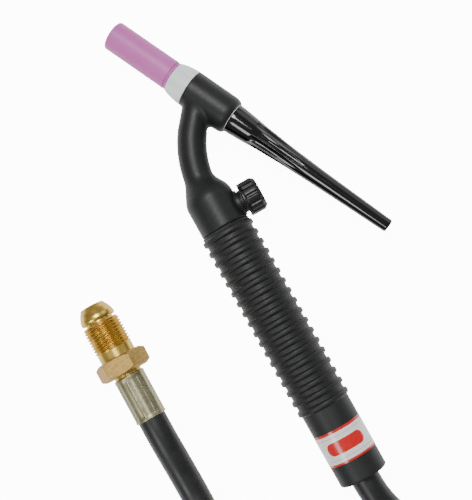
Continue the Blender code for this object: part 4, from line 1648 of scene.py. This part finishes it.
@dataclass
class InnerParts:
    """CAD nodes that stay as they are, inside the moulding or the nozzle, and their finishes."""

    finishes: dict[str, Finish] = field(
        default_factory=lambda: {
            "collet_body": COPPER,
            "collet": COPPER,
            "electrode": TUNGSTEN,
            "head_core": BRASS,
            "valve_core": BRASS,
            "valve_stem": PLATED_STEEL,
            "cable_union_nut": BRASS,
            "cable_nipple": BRASS,
            "cable_ferrule": PLATED_STEEL,
            "hose_end_handle": HOSE_RUBBER,
            "back_cap_o_ring": SEAL_RUBBER,
            "stem_o_ring": SEAL_RUBBER,
        }
    )

    def build(self) -> None:
        """Dresses each node."""
        for name, finish in self.finishes.items():
            node = frame["nodes"][name]
            node.data.materials.clear()
            node.data.materials.append(finish.material())
            LOG.info("%s is dressed in %s", name, finish.name)


# ---------------------------------------------------------------- studio


@dataclass
class Studio:
    """Camera, lights and a plain pale floor. Places are from the handle's first rib."""

    target: tuple[float, float, float] = (-0.0008, -0.0102, 0.0)
    camera_place: tuple[float, float, float] = (0.0075, -0.0509, 0.510)
    picture_up: tuple[float, float] = (0.4878, 0.8730)
    lens: float = 65.6
    floor_half: float = 4.0
    room_strength: float = 0.34
    floor_glow: float = 0.8
    floor_glow_seen: float = 12.0

    def camera(self) -> None:
        """Makes the camera, looking nearly straight down."""
        data = bpy.data.cameras.new("studio_camera")
        data.lens = self.lens
        data.clip_start, data.clip_end = 0.01, 50.0
        origin = LAYOUT.torch.origin
        place, target = origin + np.array(self.camera_place), origin + np.array(self.target)
        back = (place - target) / np.linalg.norm(place - target)
        up = np.array([*self.picture_up, 0.0])
        up = up - (up @ back) * back
        up /= np.linalg.norm(up)
        right = np.cross(up, back)
        camera = bpy.data.objects.new("studio_camera", data)
        bpy.context.scene.collection.objects.link(camera)
        matrix = np.eye(4)
        matrix[:3, 0], matrix[:3, 1], matrix[:3, 2], matrix[:3, 3] = right, up, back, place
        camera.matrix_world = Matrix(matrix.tolist())
        bpy.context.scene.camera = camera

    def softbox(self, name: str, direction: tuple[float, float, float], distance: float,
                size: tuple[float, float], power: float) -> None:
        """A rectangular light that faces the torch.

        Args:
            name: Its name.
            direction: Where it stands, seen from the torch's middle.
            distance: How far away.
            size: Its width and height.
            power: In watts.
        """
        data = bpy.data.lights.new(name, "AREA")
        data.shape = "RECTANGLE"
        data.size, data.size_y = size
        data.energy = power
        away = np.array(direction) / np.linalg.norm(direction)
        centre = LAYOUT.torch.origin
        side = np.cross(np.array([*self.picture_up, 0.0]), away)
        side /= np.linalg.norm(side)
        matrix = np.eye(4)
        matrix[:3, 0], matrix[:3, 1], matrix[:3, 2] = side, np.cross(away, side), away
        matrix[:3, 3] = centre + distance * away
        light = bpy.data.objects.new(name, data)
        light.matrix_world = Matrix(matrix.tolist())
        bpy.context.scene.collection.objects.link(light)

    def lights(self) -> None:
        """An overhead softbox, one low at the left, a far window and an even room."""
        self.softbox("overhead_softbox", (0.06, 0.27, 0.96), 1.1, (0.30, 0.44), 9.0)
        self.softbox("left_softbox", (-0.60, -0.31, 0.73), 1.1, (0.26, 0.36), 3.2)
        self.softbox("right_window", (0.9, 0.35, 0.45), 1.4, (0.8, 0.8), 2.0)
        world = bpy.data.worlds.new("studio_room")
        world.use_nodes = True
        world.node_tree.nodes["Background"].inputs["Color"].default_value = linear("#ffffff")
        world.node_tree.nodes["Background"].inputs["Strength"].default_value = self.room_strength
        bpy.context.scene.world = world

    def floor(self) -> None:
        """A plain white floor that glows: strongly where it is looked at, so that it stays white, and weakly on
        the torch, so that the torch's outline stays dark."""
        half = self.floor_half
        mesh = bpy.data.meshes.new("studio_floor")
        corners = [(-half, -half, 0), (half, -half, 0), (half, half, 0), (-half, half, 0)]
        mesh.from_pydata(corners, [], [(0, 1, 2, 3)])
        material = bpy.data.materials.new("white_paper_floor")
        material.use_nodes = True
        shader = material.node_tree.nodes["Principled BSDF"]
        shader.inputs["Base Color"].default_value = linear("#f4f4f4")
        shader.inputs["Roughness"].default_value = 0.9
        shader.inputs["Emission Color"].default_value = linear("#ffffff")
        nodes = material.node_tree
        eye = add_node(nodes, "ShaderNodeLightPath")
        glow = spread(nodes, eye.outputs["Is Camera Ray"], self.floor_glow, self.floor_glow_seen)
        nodes.links.new(glow, shader.inputs["Emission Strength"])
        mesh.materials.append(material)
        floor = bpy.data.objects.new("studio_floor", mesh)
        bpy.context.scene.collection.objects.link(floor)

    def build(self) -> None:
        """Sets up the studio."""
        self.camera()
        self.lights()
        self.floor()


def main() -> None:
    """Builds the studio and every sub-assembly."""
    logging.basicConfig(level=logging.INFO, format="%(name)s: %(message)s")
    Studio().build()
    Hose().build(InletFitting().build())
    FrontEnd().build()
    MouldedBody().build()
    BackCap().build()
    ValveKnob().build()
    Handle().build()
    InnerParts().build()
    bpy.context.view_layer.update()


if __name__ == "__main__":
    main()
